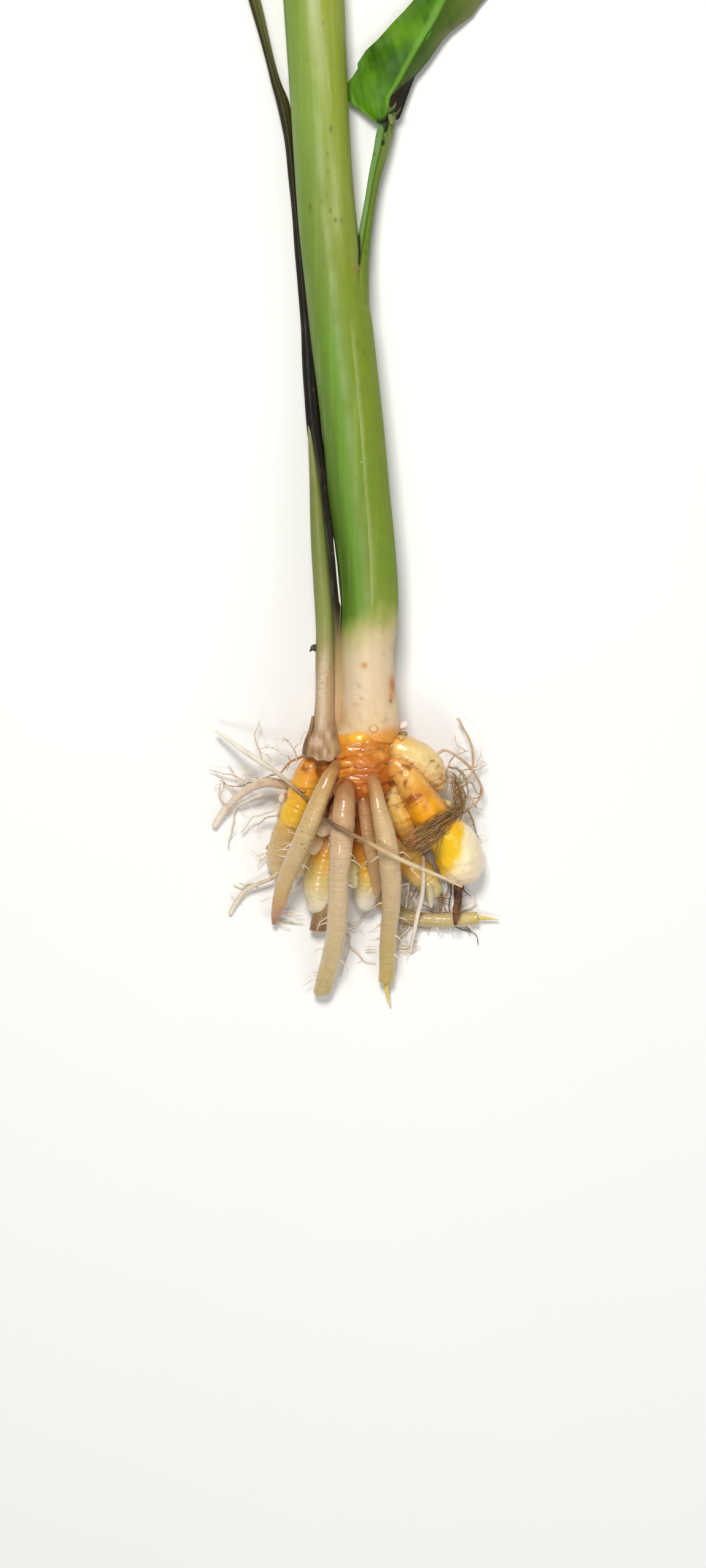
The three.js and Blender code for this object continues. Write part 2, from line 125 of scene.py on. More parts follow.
def carried_axes(points):
    """Axes across a route that turn as little as they can: each is the last one, less its part along the
    tangent, so a thread may stand upright or loop."""
    tangent = np.gradient(points, axis=0)
    tangent /= np.maximum(np.linalg.norm(tangent, axis=1), 1e-9)[:, None]
    side = np.cross(tangent[0], [0.0, 0.0, 1.0] if abs(tangent[0, 2]) < 0.8 else [1.0, 0.0, 0.0])
    sides = []
    for direction in tangent:
        side = side - direction * np.dot(side, direction)
        side = side / np.linalg.norm(side)
        sides.append(side)
    return tangent, np.array(sides), np.cross(sides, tangent)


def framed(route, step, low=-math.inf, high=math.inf):
    """A route's rows, distances and level axes, between two heights."""
    rows, along = grow_route(route, step)
    keep = (rows[:, 1] > low) & (rows[:, 1] < high)
    return [part[keep] for part in (rows, along, *level_axes(rows[:, :3]))]


def around(row, side, over, a, wide, tall=None):
    """The points centre + side * wide * cos(a) + over * tall * sin(a); tall is wide where it isn't given."""
    across, up = wide * np.cos(a), (wide if tall is None else tall) * np.sin(a)
    return row[..., :3] + side * across[..., None] + over * up[..., None]


NOISE_SIZE = 32
noise_lattice = np.random.default_rng(20).random((NOISE_SIZE, NOISE_SIZE, NOISE_SIZE))


def mottle(points, size):
    """Value noise between -1 and 1: a lattice of random numbers size millimetres apart (one size, or one for
    each of x, y and z), blended by ease across each cell."""
    p = np.asarray(points, float) / size
    cell = np.floor(p).astype(int)
    f = p - cell
    f = f * f * (3 - 2 * f)
    total = np.zeros(p.shape[:-1])
    for corner in np.ndindex(2, 2, 2):
        weight = np.where(corner, f, 1 - f)
        i, j, k = np.moveaxis((cell + corner) % NOISE_SIZE, -1, 0)
        total += weight[..., 0] * weight[..., 1] * weight[..., 2] * noise_lattice[i, j, k]
    return total * 2 - 1


def rough(points, size, octaves=3):
    """Layers of mottle, each half the size and half the strength of the one before."""
    return sum(mottle(points + 7.3 * k, np.asarray(size) / 2**k) / 2**k for k in range(octaves))


def about(radius, a, s):
    """A place in the noise for the skin of a limb: round it at that radius, and s along it."""
    return together(radius * np.cos(a), radius * np.sin(a), s)


def linear(colour):
    """An 0 to 255 display colour as linear light."""
    c = np.asarray(colour, float) / 255
    return np.where(c <= 0.04045, c / 12.92, ((c + 0.055) / 1.055) ** 2.4)


def shade(value, stops):
    """The colour at value between stops of (value, red, green, blue), as linear light."""
    stops = np.array(stops, float)
    return read_rows(value, stops[:, 0], linear(stops[:, 1:]))


def dye(tint, *coats):
    """tint under coats of (red, green, blue, share): each mixes that display colour in, by share."""
    for *colour, share in coats:
        tint = mix(tint, linear(colour), share)
    return tint


def full(colour, like):
    """One display colour for every row of like."""
    return np.broadcast_to(linear(colour), (*np.shape(like), 3))


# ---- Meshes ----


class Form:
    """Points in millimetres, the quads and triangles between them, and one value per point of each layer.

    Layers: tint (a colour), grain (the place in the piece's own grain: around, around, along), mark (a mask).
    """

    def __init__(self, points, quads, tris=(), **layers):
        self.points = np.asarray(points, float).reshape(-1, 3)
        self.quads = np.asarray(quads, int).reshape(-1, 4)
        self.tris = np.asarray(tris, int).reshape(-1, 3)
        self.layers = {name: np.asarray(values, float) for name, values in layers.items()}

    def paint(self, tint, mark=None):
        """Sets the tint, and the mark where it's given. Returns the form."""
        self.layers["tint"] = tint
        if mark is not None:
            self.layers["mark"] = mark
        return self

    def layer(self, name):
        """A layer's values, or zeros."""
        shape = (len(self.points), 3)[: 1 if name == "mark" else 2]
        return self.layers.get(name, np.zeros(shape)).reshape(shape)


def gather(forms):
    """Several forms as one."""
    starts = np.cumsum([0] + [len(form.points) for form in forms])
    names = {name for form in forms for name in form.layers}
    return Form(
        np.concatenate([form.points for form in forms]),
        np.concatenate([form.quads + start for form, start in zip(forms, starts)]),
        np.concatenate([form.tris + start for form, start in zip(forms, starts)]),
        **{name: np.concatenate([form.layer(name) for form in forms]) for name in names},
    )


def grid_quads(rows, columns, wrap=False):
    """The quads of a grid: (row, column), (row + 1, column), (row + 1, column + 1), (row, column + 1)."""
    j, k = np.meshgrid(np.arange(rows - 1), np.arange(columns if wrap else columns - 1), indexing="ij")
    nxt = (k + 1) % columns
    a, b = j * columns, (j + 1) * columns
    return np.stack([a + k, b + k, b + nxt, a + nxt], axis=-1).reshape(-1, 4)


def closed_tube(rings, grain):
    """A closed skin over rings of points (rows, columns, 3), with a pole in the middle of each end ring. Each
    pole takes the mean of its ring's grain."""
    rows, columns = rings.shape[:2]
    k = np.arange(columns)
    nxt = (k + 1) % columns
    last = (rows - 1) * columns
    pole = np.full(columns, rows * columns)
    fans = [np.stack([pole, k, nxt], axis=-1), np.stack([pole + 1, last + nxt, last + k], axis=-1)]
    points, grain = (
        np.concatenate([grid.reshape(-1, 3), grid[[0, -1]].mean(axis=1)]) for grid in (rings, grain)
    )
    return Form(points, grid_quads(rows, columns, wrap=True), np.concatenate(fans), grain=grain)


def new_object(name, data):
    """An object of the scene, at the origin, that shows data."""
    made = bpy.data.objects.new(name, data)
    bpy.context.scene.collection.objects.link(made)
    return made


LAYER_KINDS = {
    "tint": ("FLOAT_COLOR", "color"),
    "grain": ("FLOAT_VECTOR", "vector"),
    "mark": ("FLOAT", "value"),
}


def make_mesh(name, form):
    """The form as a Blender mesh in metres, smooth shaded, with its layers as point attributes."""
    mesh = bpy.data.meshes.new(name)
    mesh.vertices.add(len(form.points))
    mesh.vertices.foreach_set("co", (form.points * MM).ravel())
    corners = np.concatenate([form.quads.ravel(), form.tris.ravel()])
    sizes = np.repeat([4, 3], [len(form.quads), len(form.tris)])
    mesh.loops.add(len(corners))
    mesh.loops.foreach_set("vertex_index", corners)
    mesh.polygons.add(len(sizes))
    mesh.polygons.foreach_set("loop_start", np.cumsum(sizes) - sizes)
    mesh.update(calc_edges=True)
    mesh.validate()
    mesh.polygons.foreach_set("use_smooth", np.ones(len(mesh.polygons), bool))
    for layer in sorted(form.layers):
        values = form.layer(layer)
        if layer == "tint":
            values = np.column_stack([values, np.ones(len(values))])
        kind, key = LAYER_KINDS[layer]
        mesh.attributes.new(layer, kind, "POINT").data.foreach_set(key, values.ravel())
    return mesh


def add_piece(name, form, finish, *nodes, slot=None):
    """A finished piece on the plant's one body, with the nodes that it stands for. The slot is not used.
    Nothing is left under the ground."""
    form.points[:, 2] = np.maximum(form.points[:, 2], LOWEST)
    piece = new_object(name, make_mesh(name, form))
    piece.data.materials.append(FINISHES[finish])
    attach(piece, "root")
    if nodes:
        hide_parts(*nodes)


# An end's rings past the route, as (share of the width, distance out as a share of the width).
ROUND = [(math.cos(a), math.sin(a)) for a in np.radians([12, 32, 52, 72, 86])]
CUT = [(0.999, 0.0), (0.9, 0.03), (0.6, 0.02), (0.3, 0.0), (0.05, 0.0)]
SNAPPED = [
    (0.985, 0.05), (0.93, 0.08), (0.85, 0.0), (0.66, -0.12), (0.5, -0.1), (0.43, 0.06), (0.3, 0.2),
    (0.1, 0.22),
]


def limb(stations, sides, step, axes=level_axes, skin=None, foot=ROUND, tip=ROUND, shear=0.0):
    """A closed limb: at each step of its route, centre + side * r cos(a) + over * r sin(a), with an optional
    skin(along, angle, centre) -> extra radius. Each end carries on through its own rings. Shear slants the
    tip: its last stretch moves along the route by shear * r * cos(a).

    The form keeps each point's distance along the route, its angle and its share of the width, for painting.
    """
    rows, along = grow_route(stations, step)
    length, width = float(along[-1]), rows[-1, 3]
    profile = [*((share, -out) for share, out in foot[::-1]), *[(1.0, 0.0)] * len(rows), *tip]
    pick = np.clip(np.arange(len(profile)) - len(foot), 0, len(rows) - 1)
    ahead, side, over = (axis[pick, None] for axis in axes(rows[:, :3]))
    rows = rows[pick]
    shrink, out = np.array(profile).T[..., None]
    across, upright = rows[:, 3:4], rows[:, 4:5] if rows.shape[1] > 4 else rows[:, 3:4]
    out = out * across
    centre, s = rows[:, None, :3] + ahead * out[..., None], along[pick, None] + out
    a = np.arange(sides)[None, :] / sides * FULL_TURN
    extra = 0 if skin is None else skin(s, a, centre)
    wide = (across + extra) * shrink * np.cos(a)
    tall = (upright + extra) * shrink * np.sin(a)
    rings = centre + side * wide[..., None] + over * tall[..., None]
    if shear:
        slant = shear * wide * ease(length - 2.5 * width, length, s)
        rings = rings + ahead * slant[..., None]
    form = closed_tube(rings, together(wide, tall, s))
    form.along, form.angle, form.share = (
        np.append(np.broadcast_to(values, wide.shape), ends)
        for values, ends in ((s, s[[0, -1], 0]), (a, [0.0, 0.0]), (shrink, [0.0, 0.0]))
    )
    form.length = length
    return form


def closed_sheet(front, back, turned=False, **layers):
    """A thin closed sheet between two grids of points (rows, columns, 3), joined round its border. The front
    faces along its columns' direction crossed with its rows' direction, or the other way where it is turned.
    Both faces take the same layers, each given for the grid or as one row for each of its points."""
    rows, columns = front.shape[:2]
    size = rows * columns
    grids = {"front": front, "back": back}
    for name, values in layers.items():
        shape = (rows, columns, 3)[: 2 if name == "mark" else 3]
        values = np.asarray(values, float)
        whole = values.size == math.prod(shape)
        grids[name] = values.reshape(shape) if whole else np.broadcast_to(values, shape)
    if turned:
        grids = {name: grid[:, ::-1] for name, grid in grids.items()}
    flat = {name: grid.reshape(size, -1) for name, grid in grids.items()}
    points = np.concatenate([flat.pop("front"), flat.pop("back")])
    k = np.arange(size).reshape(rows, columns)
    rim = np.concatenate([k[0, :-1], k[:-1, -1], k[-1, :0:-1], k[:0:-1, 0]])
    nxt = np.roll(rim, -1)
    face = grid_quads(rows, columns)
    border = np.stack([rim, rim + size, nxt + size, nxt], axis=-1)
    quads = np.concatenate([face[:, ::-1], face + size, border])
    return Form(points, quads, **{name: np.concatenate([values, values]) for name, values in flat.items()})


# ---- Shader building ----


def plug(tree, socket, value):
    """Links the socket to value where that is a socket too, or else sets it."""
    if isinstance(value, bpy.types.NodeSocket):
        tree.links.new(value, socket)
    else:
        socket.default_value = value


def node(tree, kind, settings=None, **inputs):
    """A shader node with those settings. Each input is a value or a socket, under its name with underscores
    for spaces, or under its number after an underscore."""
    made = tree.nodes.new("ShaderNode" + kind)
    for key, value in (settings or {}).items():
        setattr(made, key, value)
    for key, value in inputs.items():
        plug(tree, made.inputs[int(key[1:]) if key[0] == "_" else key.replace("_", " ")], value)
    return made


def compute(tree, operation, a, b=0.0, c=0.0):
    """A Math node's value."""
    return node(tree, "Math", {"operation": operation}, _0=a, _1=b, _2=c).outputs[0]


def compute_vector(tree, operation, a, b):
    """A Vector Math node's value."""
    return node(tree, "VectorMath", {"operation": operation}, _0=a, _1=b).outputs[0]


def combine(tree, x, y, z):
    """Three numbers as a vector."""
    return node(tree, "CombineXYZ", X=x, Y=y, Z=z).outputs[0]


def span(tree, value, low, high):
    """0 to 1, smoothly, as value goes from low to high."""
    return node(tree, "MapRange", {"interpolation_type": "SMOOTHSTEP"}, _0=value, _1=low, _2=high).outputs[0]


def blend_colour(tree, share, a, b, kind="MIX"):
    """Colours a and b mixed by share; kind is a Mix node's blend type."""
    return node(tree, "Mix", {"data_type": "RGBA", "blend_type": kind}, _0=share, _6=a, _7=b).outputs[2]


def noise(tree, place, scale, detail=3.0, roughness=0.55, distortion=0.0, output="Fac"):
    """A Noise Texture node's output."""
    values = {"Scale": scale, "Detail": detail, "Roughness": roughness, "Distortion": distortion}
    return node(tree, "TexNoise", Vector=place, **values).outputs[output]


def new_group(name, outputs, **numbers):
    """A node group that takes Place, a vector, and named numbers, and puts out named numbers: its tree, its
    inputs and its outputs."""
    tree = bpy.data.node_groups.new(name, "ShaderNodeTree")
    tree.interface.new_socket("Place", in_out="INPUT", socket_type="NodeSocketVector")
    for key, value in numbers.items():
        tree.interface.new_socket(key, in_out="INPUT", socket_type="NodeSocketFloat").default_value = value
    for key in outputs:
        tree.interface.new_socket(key, in_out="OUTPUT", socket_type="NodeSocketFloat")
    return tree, tree.nodes.new("NodeGroupInput").outputs, tree.nodes.new("NodeGroupOutput").inputs


def build_wrinkle_group():
    """Fine wrinkles across a root: noise of the grain place, stretched round the root and tight along it.
    HollowShade is the wrinkles' floors, which the finishes darken as painted shade.
    """
    tree, given, out = new_group("cross_wrinkles", ("Height", "HollowShade"), Spacing=0.8)
    scale = combine(tree, 0.16, 0.16, compute(tree, "DIVIDE", 1.0, given["Spacing"]))
    lines = noise(tree, compute_vector(tree, "MULTIPLY", given["Place"], scale), 1.0, distortion=0.35)
    plug(tree, out["Height"], compute(tree, "SUBTRACT", lines, 0.5))
    plug(tree, out["HollowShade"], span(tree, lines, 0.5, 0.34))
    return tree


def build_rib_group():
    """Long fine ribs: noise of the grain place, tight round the stem and drawn out along it."""
    tree, given, out = new_group("long_ribs", ("Height", "Tone"), Width=0.5, Draw=0.02)
    tight = compute(tree, "DIVIDE", 1.0, given["Width"])
    place = compute_vector(tree, "MULTIPLY", given["Place"], combine(tree, tight, tight, given["Draw"]))
    fine = noise(tree, place, 1.0, detail=2.0)
    broad = compute(tree, "MULTIPLY", noise(tree, place, 0.22, detail=2.0), 0.6)
    plug(tree, out["Height"], fine)
    plug(tree, out["Tone"], compute(tree, "MULTIPLY_ADD", fine, 0.4, broad))
    return tree


def build_speck_group():
    """Scattered specks: near a Voronoi cell's centre, in the few cells whose own random number is low."""
    tree, given, out = new_group("specks", ["Mask"], Spacing=4.0, Size=0.12, Share=0.3)
    bend = noise(tree, given["Place"], 0.9, detail=2.0, roughness=0.5, output="Color")
    centred = compute_vector(tree, "SUBTRACT", bend, (0.5, 0.5, 0.5))
    moved = compute_vector(tree, "ADD", given["Place"], centred)
    scale = compute(tree, "DIVIDE", 1.0, given["Spacing"])
    cells = node(tree, "TexVoronoi", Vector=moved, Scale=scale).outputs
    far = compute(tree, "DIVIDE", cells["Distance"], given["Size"])
    soft = compute(tree, "MAXIMUM", compute(tree, "MULTIPLY_ADD", far, -2.5, 2.5), 0.0)
    luck = node(tree, "SeparateXYZ", Vector=cells["Color"]).outputs[0]
    chosen = compute(tree, "LESS_THAN", luck, given["Share"])
    plug(tree, out["Mask"], compute(tree, "MULTIPLY", compute(tree, "MINIMUM", soft, 1.0), chosen))
    return tree


def build_damp_group():
    """A damp skin's gloss: roughness that wanders between Dry and Wet, and a fine orange-peel height."""
    tree, given, out = new_group("damp_skin", ("Roughness", "Height"), Wet=0.3, Dry=0.5, Patch=6.0)
    scale = compute(tree, "DIVIDE", 1.0, given["Patch"])
    patches = span(tree, noise(tree, given["Place"], scale), 0.35, 0.65)
    gap = compute(tree, "SUBTRACT", given["Dry"], given["Wet"])
    plug(tree, out["Roughness"], compute(tree, "MULTIPLY_ADD", gap, patches, given["Wet"]))
    plug(tree, out["Height"], noise(tree, given["Place"], 2.2, detail=4.0))
    return tree


WRINKLES = build_wrinkle_group()
RIBS = build_rib_group()
SPECKS = build_speck_group()
DAMP = build_damp_group()


class Finish:
    """A material being built, from its place in millimetres and the piece's own grain place, tint and mark.
    The tint is what its colour starts as."""

    def __init__(self, name, glow=None, glow_size=1.0, **shader_values):
        self.material = bpy.data.materials.new(name)
        self.material.use_nodes = True
        self.tree = self.material.node_tree
        self.shader = self.tree.nodes["Principled BSDF"]
        if glow:
            shader_values.update(Subsurface_Radius=glow, Subsurface_Scale=glow_size * MM)
        for key, value in shader_values.items():
            self.shader.inputs[key.replace("_", " ")].default_value = value
        metres = self.tree.nodes.new("ShaderNodeTexCoord").outputs["Object"]
        self.place = compute_vector(self.tree, "MULTIPLY", metres, (1000.0, 1000.0, 1000.0))
        self.grain, self.colour, self.mark = (
            node(self.tree, "Attribute", {"attribute_name": name}).outputs[output]
            for name, output in (("grain", "Vector"), ("tint", "Color"), ("mark", "Fac"))
        )

    def use(self, group, place=None, **inputs):
        """The group placed here, with its inputs set as node() sets them. Returns its outputs."""
        return node(self.tree, "Group", {"node_tree": group}, Place=place or self.place, **inputs).outputs

    def cloud(self, scale, place=None, **settings):
        """Noise of the place, or of another one."""
        return noise(self.tree, place or self.place, scale, **settings)

    def span(self, value, low, high):
        """0 to 1, smoothly, as value goes from low to high."""
        return span(self.tree, value, low, high)

    def times(self, a, b):
        """a times b."""
        return compute(self.tree, "MULTIPLY", a, b)

    def vary(self, amount, share):
        """Lightens and darkens the colour by amount as share goes from 1 to 0."""
        low = compute(self.tree, "MULTIPLY_ADD", share, 2 * amount, 1.0 - amount)
        self.colour = blend_colour(self.tree, 1.0, self.colour, combine(self.tree, low, low, low), "MULTIPLY")

    def cover(self, share, amount, colour):
        """Covers the colour with a display colour, by share times amount."""
        self.colour = blend_colour(self.tree, self.times(share, amount), self.colour, (*linear(colour), 1.0))

    def cover_marks(self, specks, amount, colour):
        """Covers the colour where either the specks, times amount, or the piece's own mark is."""
        self.cover(compute(self.tree, "MAXIMUM", self.times(specks, amount), self.mark), 1.0, colour)

    def close(self, wet, dry, patch, depth, strength=1.0, relief=None, peel=0.0):
        """Feeds the colour, a roughness that wanders from dry to wet, and a height, whose full range is depth
        millimetres: relief, and the damp skin's own height times peel."""
        damp = self.use(DAMP, Wet=wet, Dry=dry, Patch=patch)
        height = self.times(damp["Height"], peel)
        if relief:
            height = compute(self.tree, "ADD", relief, height)
        dented = node(self.tree, "Bump", Strength=strength, Distance=depth * MM, Height=height)
        plug(self.tree, self.shader.inputs["Base Color"], self.colour)
        plug(self.tree, self.shader.inputs["Roughness"], damp["Roughness"])
        plug(self.tree, self.shader.inputs["Normal"], dented.outputs[0])
        return self.material


# ---- Finishes ----


def rhizome_finish():
    """Damp yellow-orange skin, mottled, with brown specks, fine cross lines and red-brown hollows, partly
    their own colour and partly painted shade in the grooves and creases.
    """
    coat = {"Coat_Weight": 0.6, "Coat_Roughness": 0.16, "Subsurface_Weight": 0.12, "Specular_IOR_Level": 0.3}
    f = Finish("rhizome_skin", (0.9, 0.45, 0.12), 1.6, **coat)
    f.vary(0.16, f.cloud(0.35, detail=5.0))
    # The two covers below paint the mark's grooves, creases and scars red-brown: partly their own colour,
    # partly painted shade.
    stain_and_groove_shade = f.span(f.cloud(0.9, detail=6.0, roughness=0.7, distortion=0.6), 0.56, 0.7)
    f.cover(f.times(stain_and_groove_shade, f.span(f.mark, -0.2, 0.6)), 0.75, (120, 58, 14))
    f.cover(f.span(f.mark, 0.35, 1.0), 0.8, (96, 38, 10))
    f.cover(f.use(SPECKS, Spacing=2.6, Size=0.11, Share=0.22)["Mask"], 0.7, (105, 62, 26))
    lines = f.use(WRINKLES, f.grain, Spacing=0.7)["Height"]
    return f.close(0.24, 0.44, 4.0, depth=0.14, strength=0.7, relief=f.times(lines, 0.5), peel=1.0)


def storage_root_finish():
    """Damp tan skin with fine wrinkles across it, painted darker in the wrinkles as shade, and a few brown
    specks.
    """
    coat = {"Coat_Weight": 0.7, "Coat_Roughness": 0.17, "Subsurface_Weight": 0.1, "Specular_IOR_Level": 0.35}
    f = Finish("storage_root_skin", (0.8, 0.5, 0.25), 1.2, **coat)
    wrinkles = f.use(WRINKLES, f.grain, Spacing=0.42)
    f.vary(0.12, f.cloud(0.3, detail=4.0))
    # painted shade in the wrinkles' floors
    f.cover(wrinkles["HollowShade"], 0.12, (150, 110, 68))
    f.cover(f.span(f.cloud(0.8, f.grain, detail=5.0, distortion=0.4), 0.6, 0.75), 0.22, (150, 104, 60))
    f.cover_marks(f.use(SPECKS, Spacing=3.2, Size=0.1, Share=0.3)["Mask"], 0.7, (96, 60, 30))
    relief = f.times(wrinkles["Height"], 1.5)
    return f.close(0.26, 0.44, 7.0, depth=0.17, strength=0.9, relief=relief, peel=1.0)


def dead_root_finish():
    """Shrivelled dark brown root, dry and dull, with painted shade darkest in its wrinkles."""
    f = Finish("dead_root_skin", Coat_Weight=0.1)
    lines = f.use(WRINKLES, f.grain, Spacing=0.6)
    f.vary(0.3, f.cloud(0.8, detail=5.0))
    # painted shade: near black in the wrinkles' floors
    f.cover(lines["HollowShade"], 0.6, (22, 12, 7))
    return f.close(0.5, 0.8, 3.0, depth=0.2, relief=f.times(lines["Height"], 2.0), peel=1.0)


def fibrous_root_finish():
    """Thin roots: each thread's own tint, with brown lengths and a fine wrinkled skin."""
    f = Finish("fibrous_root_skin", Coat_Weight=0.25, Coat_Roughness=0.3)
    f.vary(0.2, f.cloud(0.4, detail=4.0))
    f.cover(f.span(f.cloud(0.25, detail=4.0, distortion=0.5), 0.56, 0.68), 0.3, (140, 102, 64))
    lines = f.use(WRINKLES, f.grain, Spacing=0.5)["Height"]
    return f.close(0.4, 0.62, 3.0, depth=0.1, strength=0.7, relief=lines)


def green_finish(name, glow, glow_size, ribs, flecks, brown, pale, wet, patch, tones, **coat):
    """A green sheath or blade: fine ribs, two mottlings, brown flecks and marks, and a waxy gloss."""
    f = Finish(name, glow, glow_size, Coat_Roughness=0.3, **coat)
    lines = f.use(RIBS, f.grain, Width=ribs[0], Draw=ribs[1])
    f.vary(tones[0], lines["Tone"])
    f.vary(tones[1], f.cloud(tones[2], detail=5.0))
    dots = f.use(SPECKS, f.grain, Spacing=flecks[0], Size=flecks[1], Share=flecks[2])["Mask"]
    f.cover_marks(dots, 0.4, brown)
    f.vary(0.07, f.cloud(1.6, detail=4.0))
    if pale:
        f.cover(f.use(SPECKS, Spacing=4.2, Size=0.07, Share=0.12)["Mask"], 0.5, pale)
    return f.close(wet, wet + 0.16, patch, depth=0.09, strength=0.6, relief=lines["Height"], peel=0.5)


def side_shoot_finish():
    """The side shoot: sage sheath over a papery pinkish foot, with ribs, folds and brown flecks."""
    coat = {"Coat_Weight": 0.04, "Coat_Roughness": 0.3, "Subsurface_Weight": 0.04, "Specular_IOR_Level": 0.25}
    f = Finish("side_shoot_sheath", (0.7, 0.6, 0.3), 0.8, **coat)
    ribs = f.use(RIBS, f.grain, Width=0.42, Draw=0.02)
    f.vary(0.2, ribs["Tone"])
    flecks = f.span(f.cloud(0.8, detail=5.0, roughness=0.6), 0.5, 0.66)
    f.cover(f.times(flecks, f.mark), 0.45, (150, 108, 74))
    return f.close(0.52, 0.7, 8.0, depth=0.12, strength=0.8, relief=ribs["Height"], peel=0.4)


def dry_scale_finish():
    """Dry papery scales: brown, streaked along the grain, paler at the torn edge."""
    f = Finish("dry_scale", Coat_Weight=0.08)
    ribs = f.use(RIBS, f.grain, Width=0.35, Draw=0.05)
    f.vary(0.34, ribs["Tone"])
    f.cover(f.mark, 0.5, (176, 140, 98))
    return f.close(0.5, 0.75, 4.0, depth=0.14, strength=0.9, relief=ribs["Height"])


def floor_finish():
    """A plain pale ground with the faintest unevenness."""
    f = Finish("pale_ground")
    f.cover(1.0, 1.0, (244, 244, 243))
    f.vary(0.01, f.cloud(0.01, detail=2.0))
    return f.close(0.84, 0.86, 40.0, depth=0.01)


STEM_LOOK = {
    "glow": (0.6, 0.8, 0.3), "glow_size": 1.0, "ribs": (0.55, 0.012), "flecks": (5.5, 0.13, 0.16),
    "brown": (84, 82, 24), "pale": (226, 228, 196), "wet": 0.48, "patch": 12.0, "tones": (0.14, 0.1, 0.12),
    "Coat_Weight": 0.06, "Subsurface_Weight": 0.05, "Specular_IOR_Level": 0.34,
}
LEAF_LOOK = {
    "glow": (0.4, 0.9, 0.15), "glow_size": 0.8, "ribs": (0.5, 0.015), "flecks": (6.0, 0.1, 0.14),
    "brown": (88, 66, 26), "pale": None, "wet": 0.52, "patch": 9.0, "tones": (0.16, 0.14, 0.22),
    "Coat_Weight": 0.02, "Subsurface_Weight": 0.04, "Specular_IOR_Level": 0.2,
}
FINISHES = {
    "rhizome_skin": rhizome_finish(),
    "storage_root_skin": storage_root_finish(),
    "dead_root_skin": dead_root_finish(),
    "fibrous_root_skin": fibrous_root_finish(),
    "stem_sheath": green_finish("stem_sheath", **STEM_LOOK),
    "leaf_green": green_finish("leaf_green", **LEAF_LOOK),
    "side_shoot_sheath": side_shoot_finish(),
    "dry_scale": dry_scale_finish(),
}


# ---- The rhizome ----

ORANGE = (222, 138, 36)
DEEP_ORANGE = (205, 112, 26)


def finger(route, stops, rings=(), ringed=1.0):
    """A limb of the rhizome: its route (x, y, z, radius), its colours at shares of its length, the shares at
    which its rings lie, and how strong they are."""
    return {"route": route, "stops": stops, "rings": rings, "ringed": ringed}


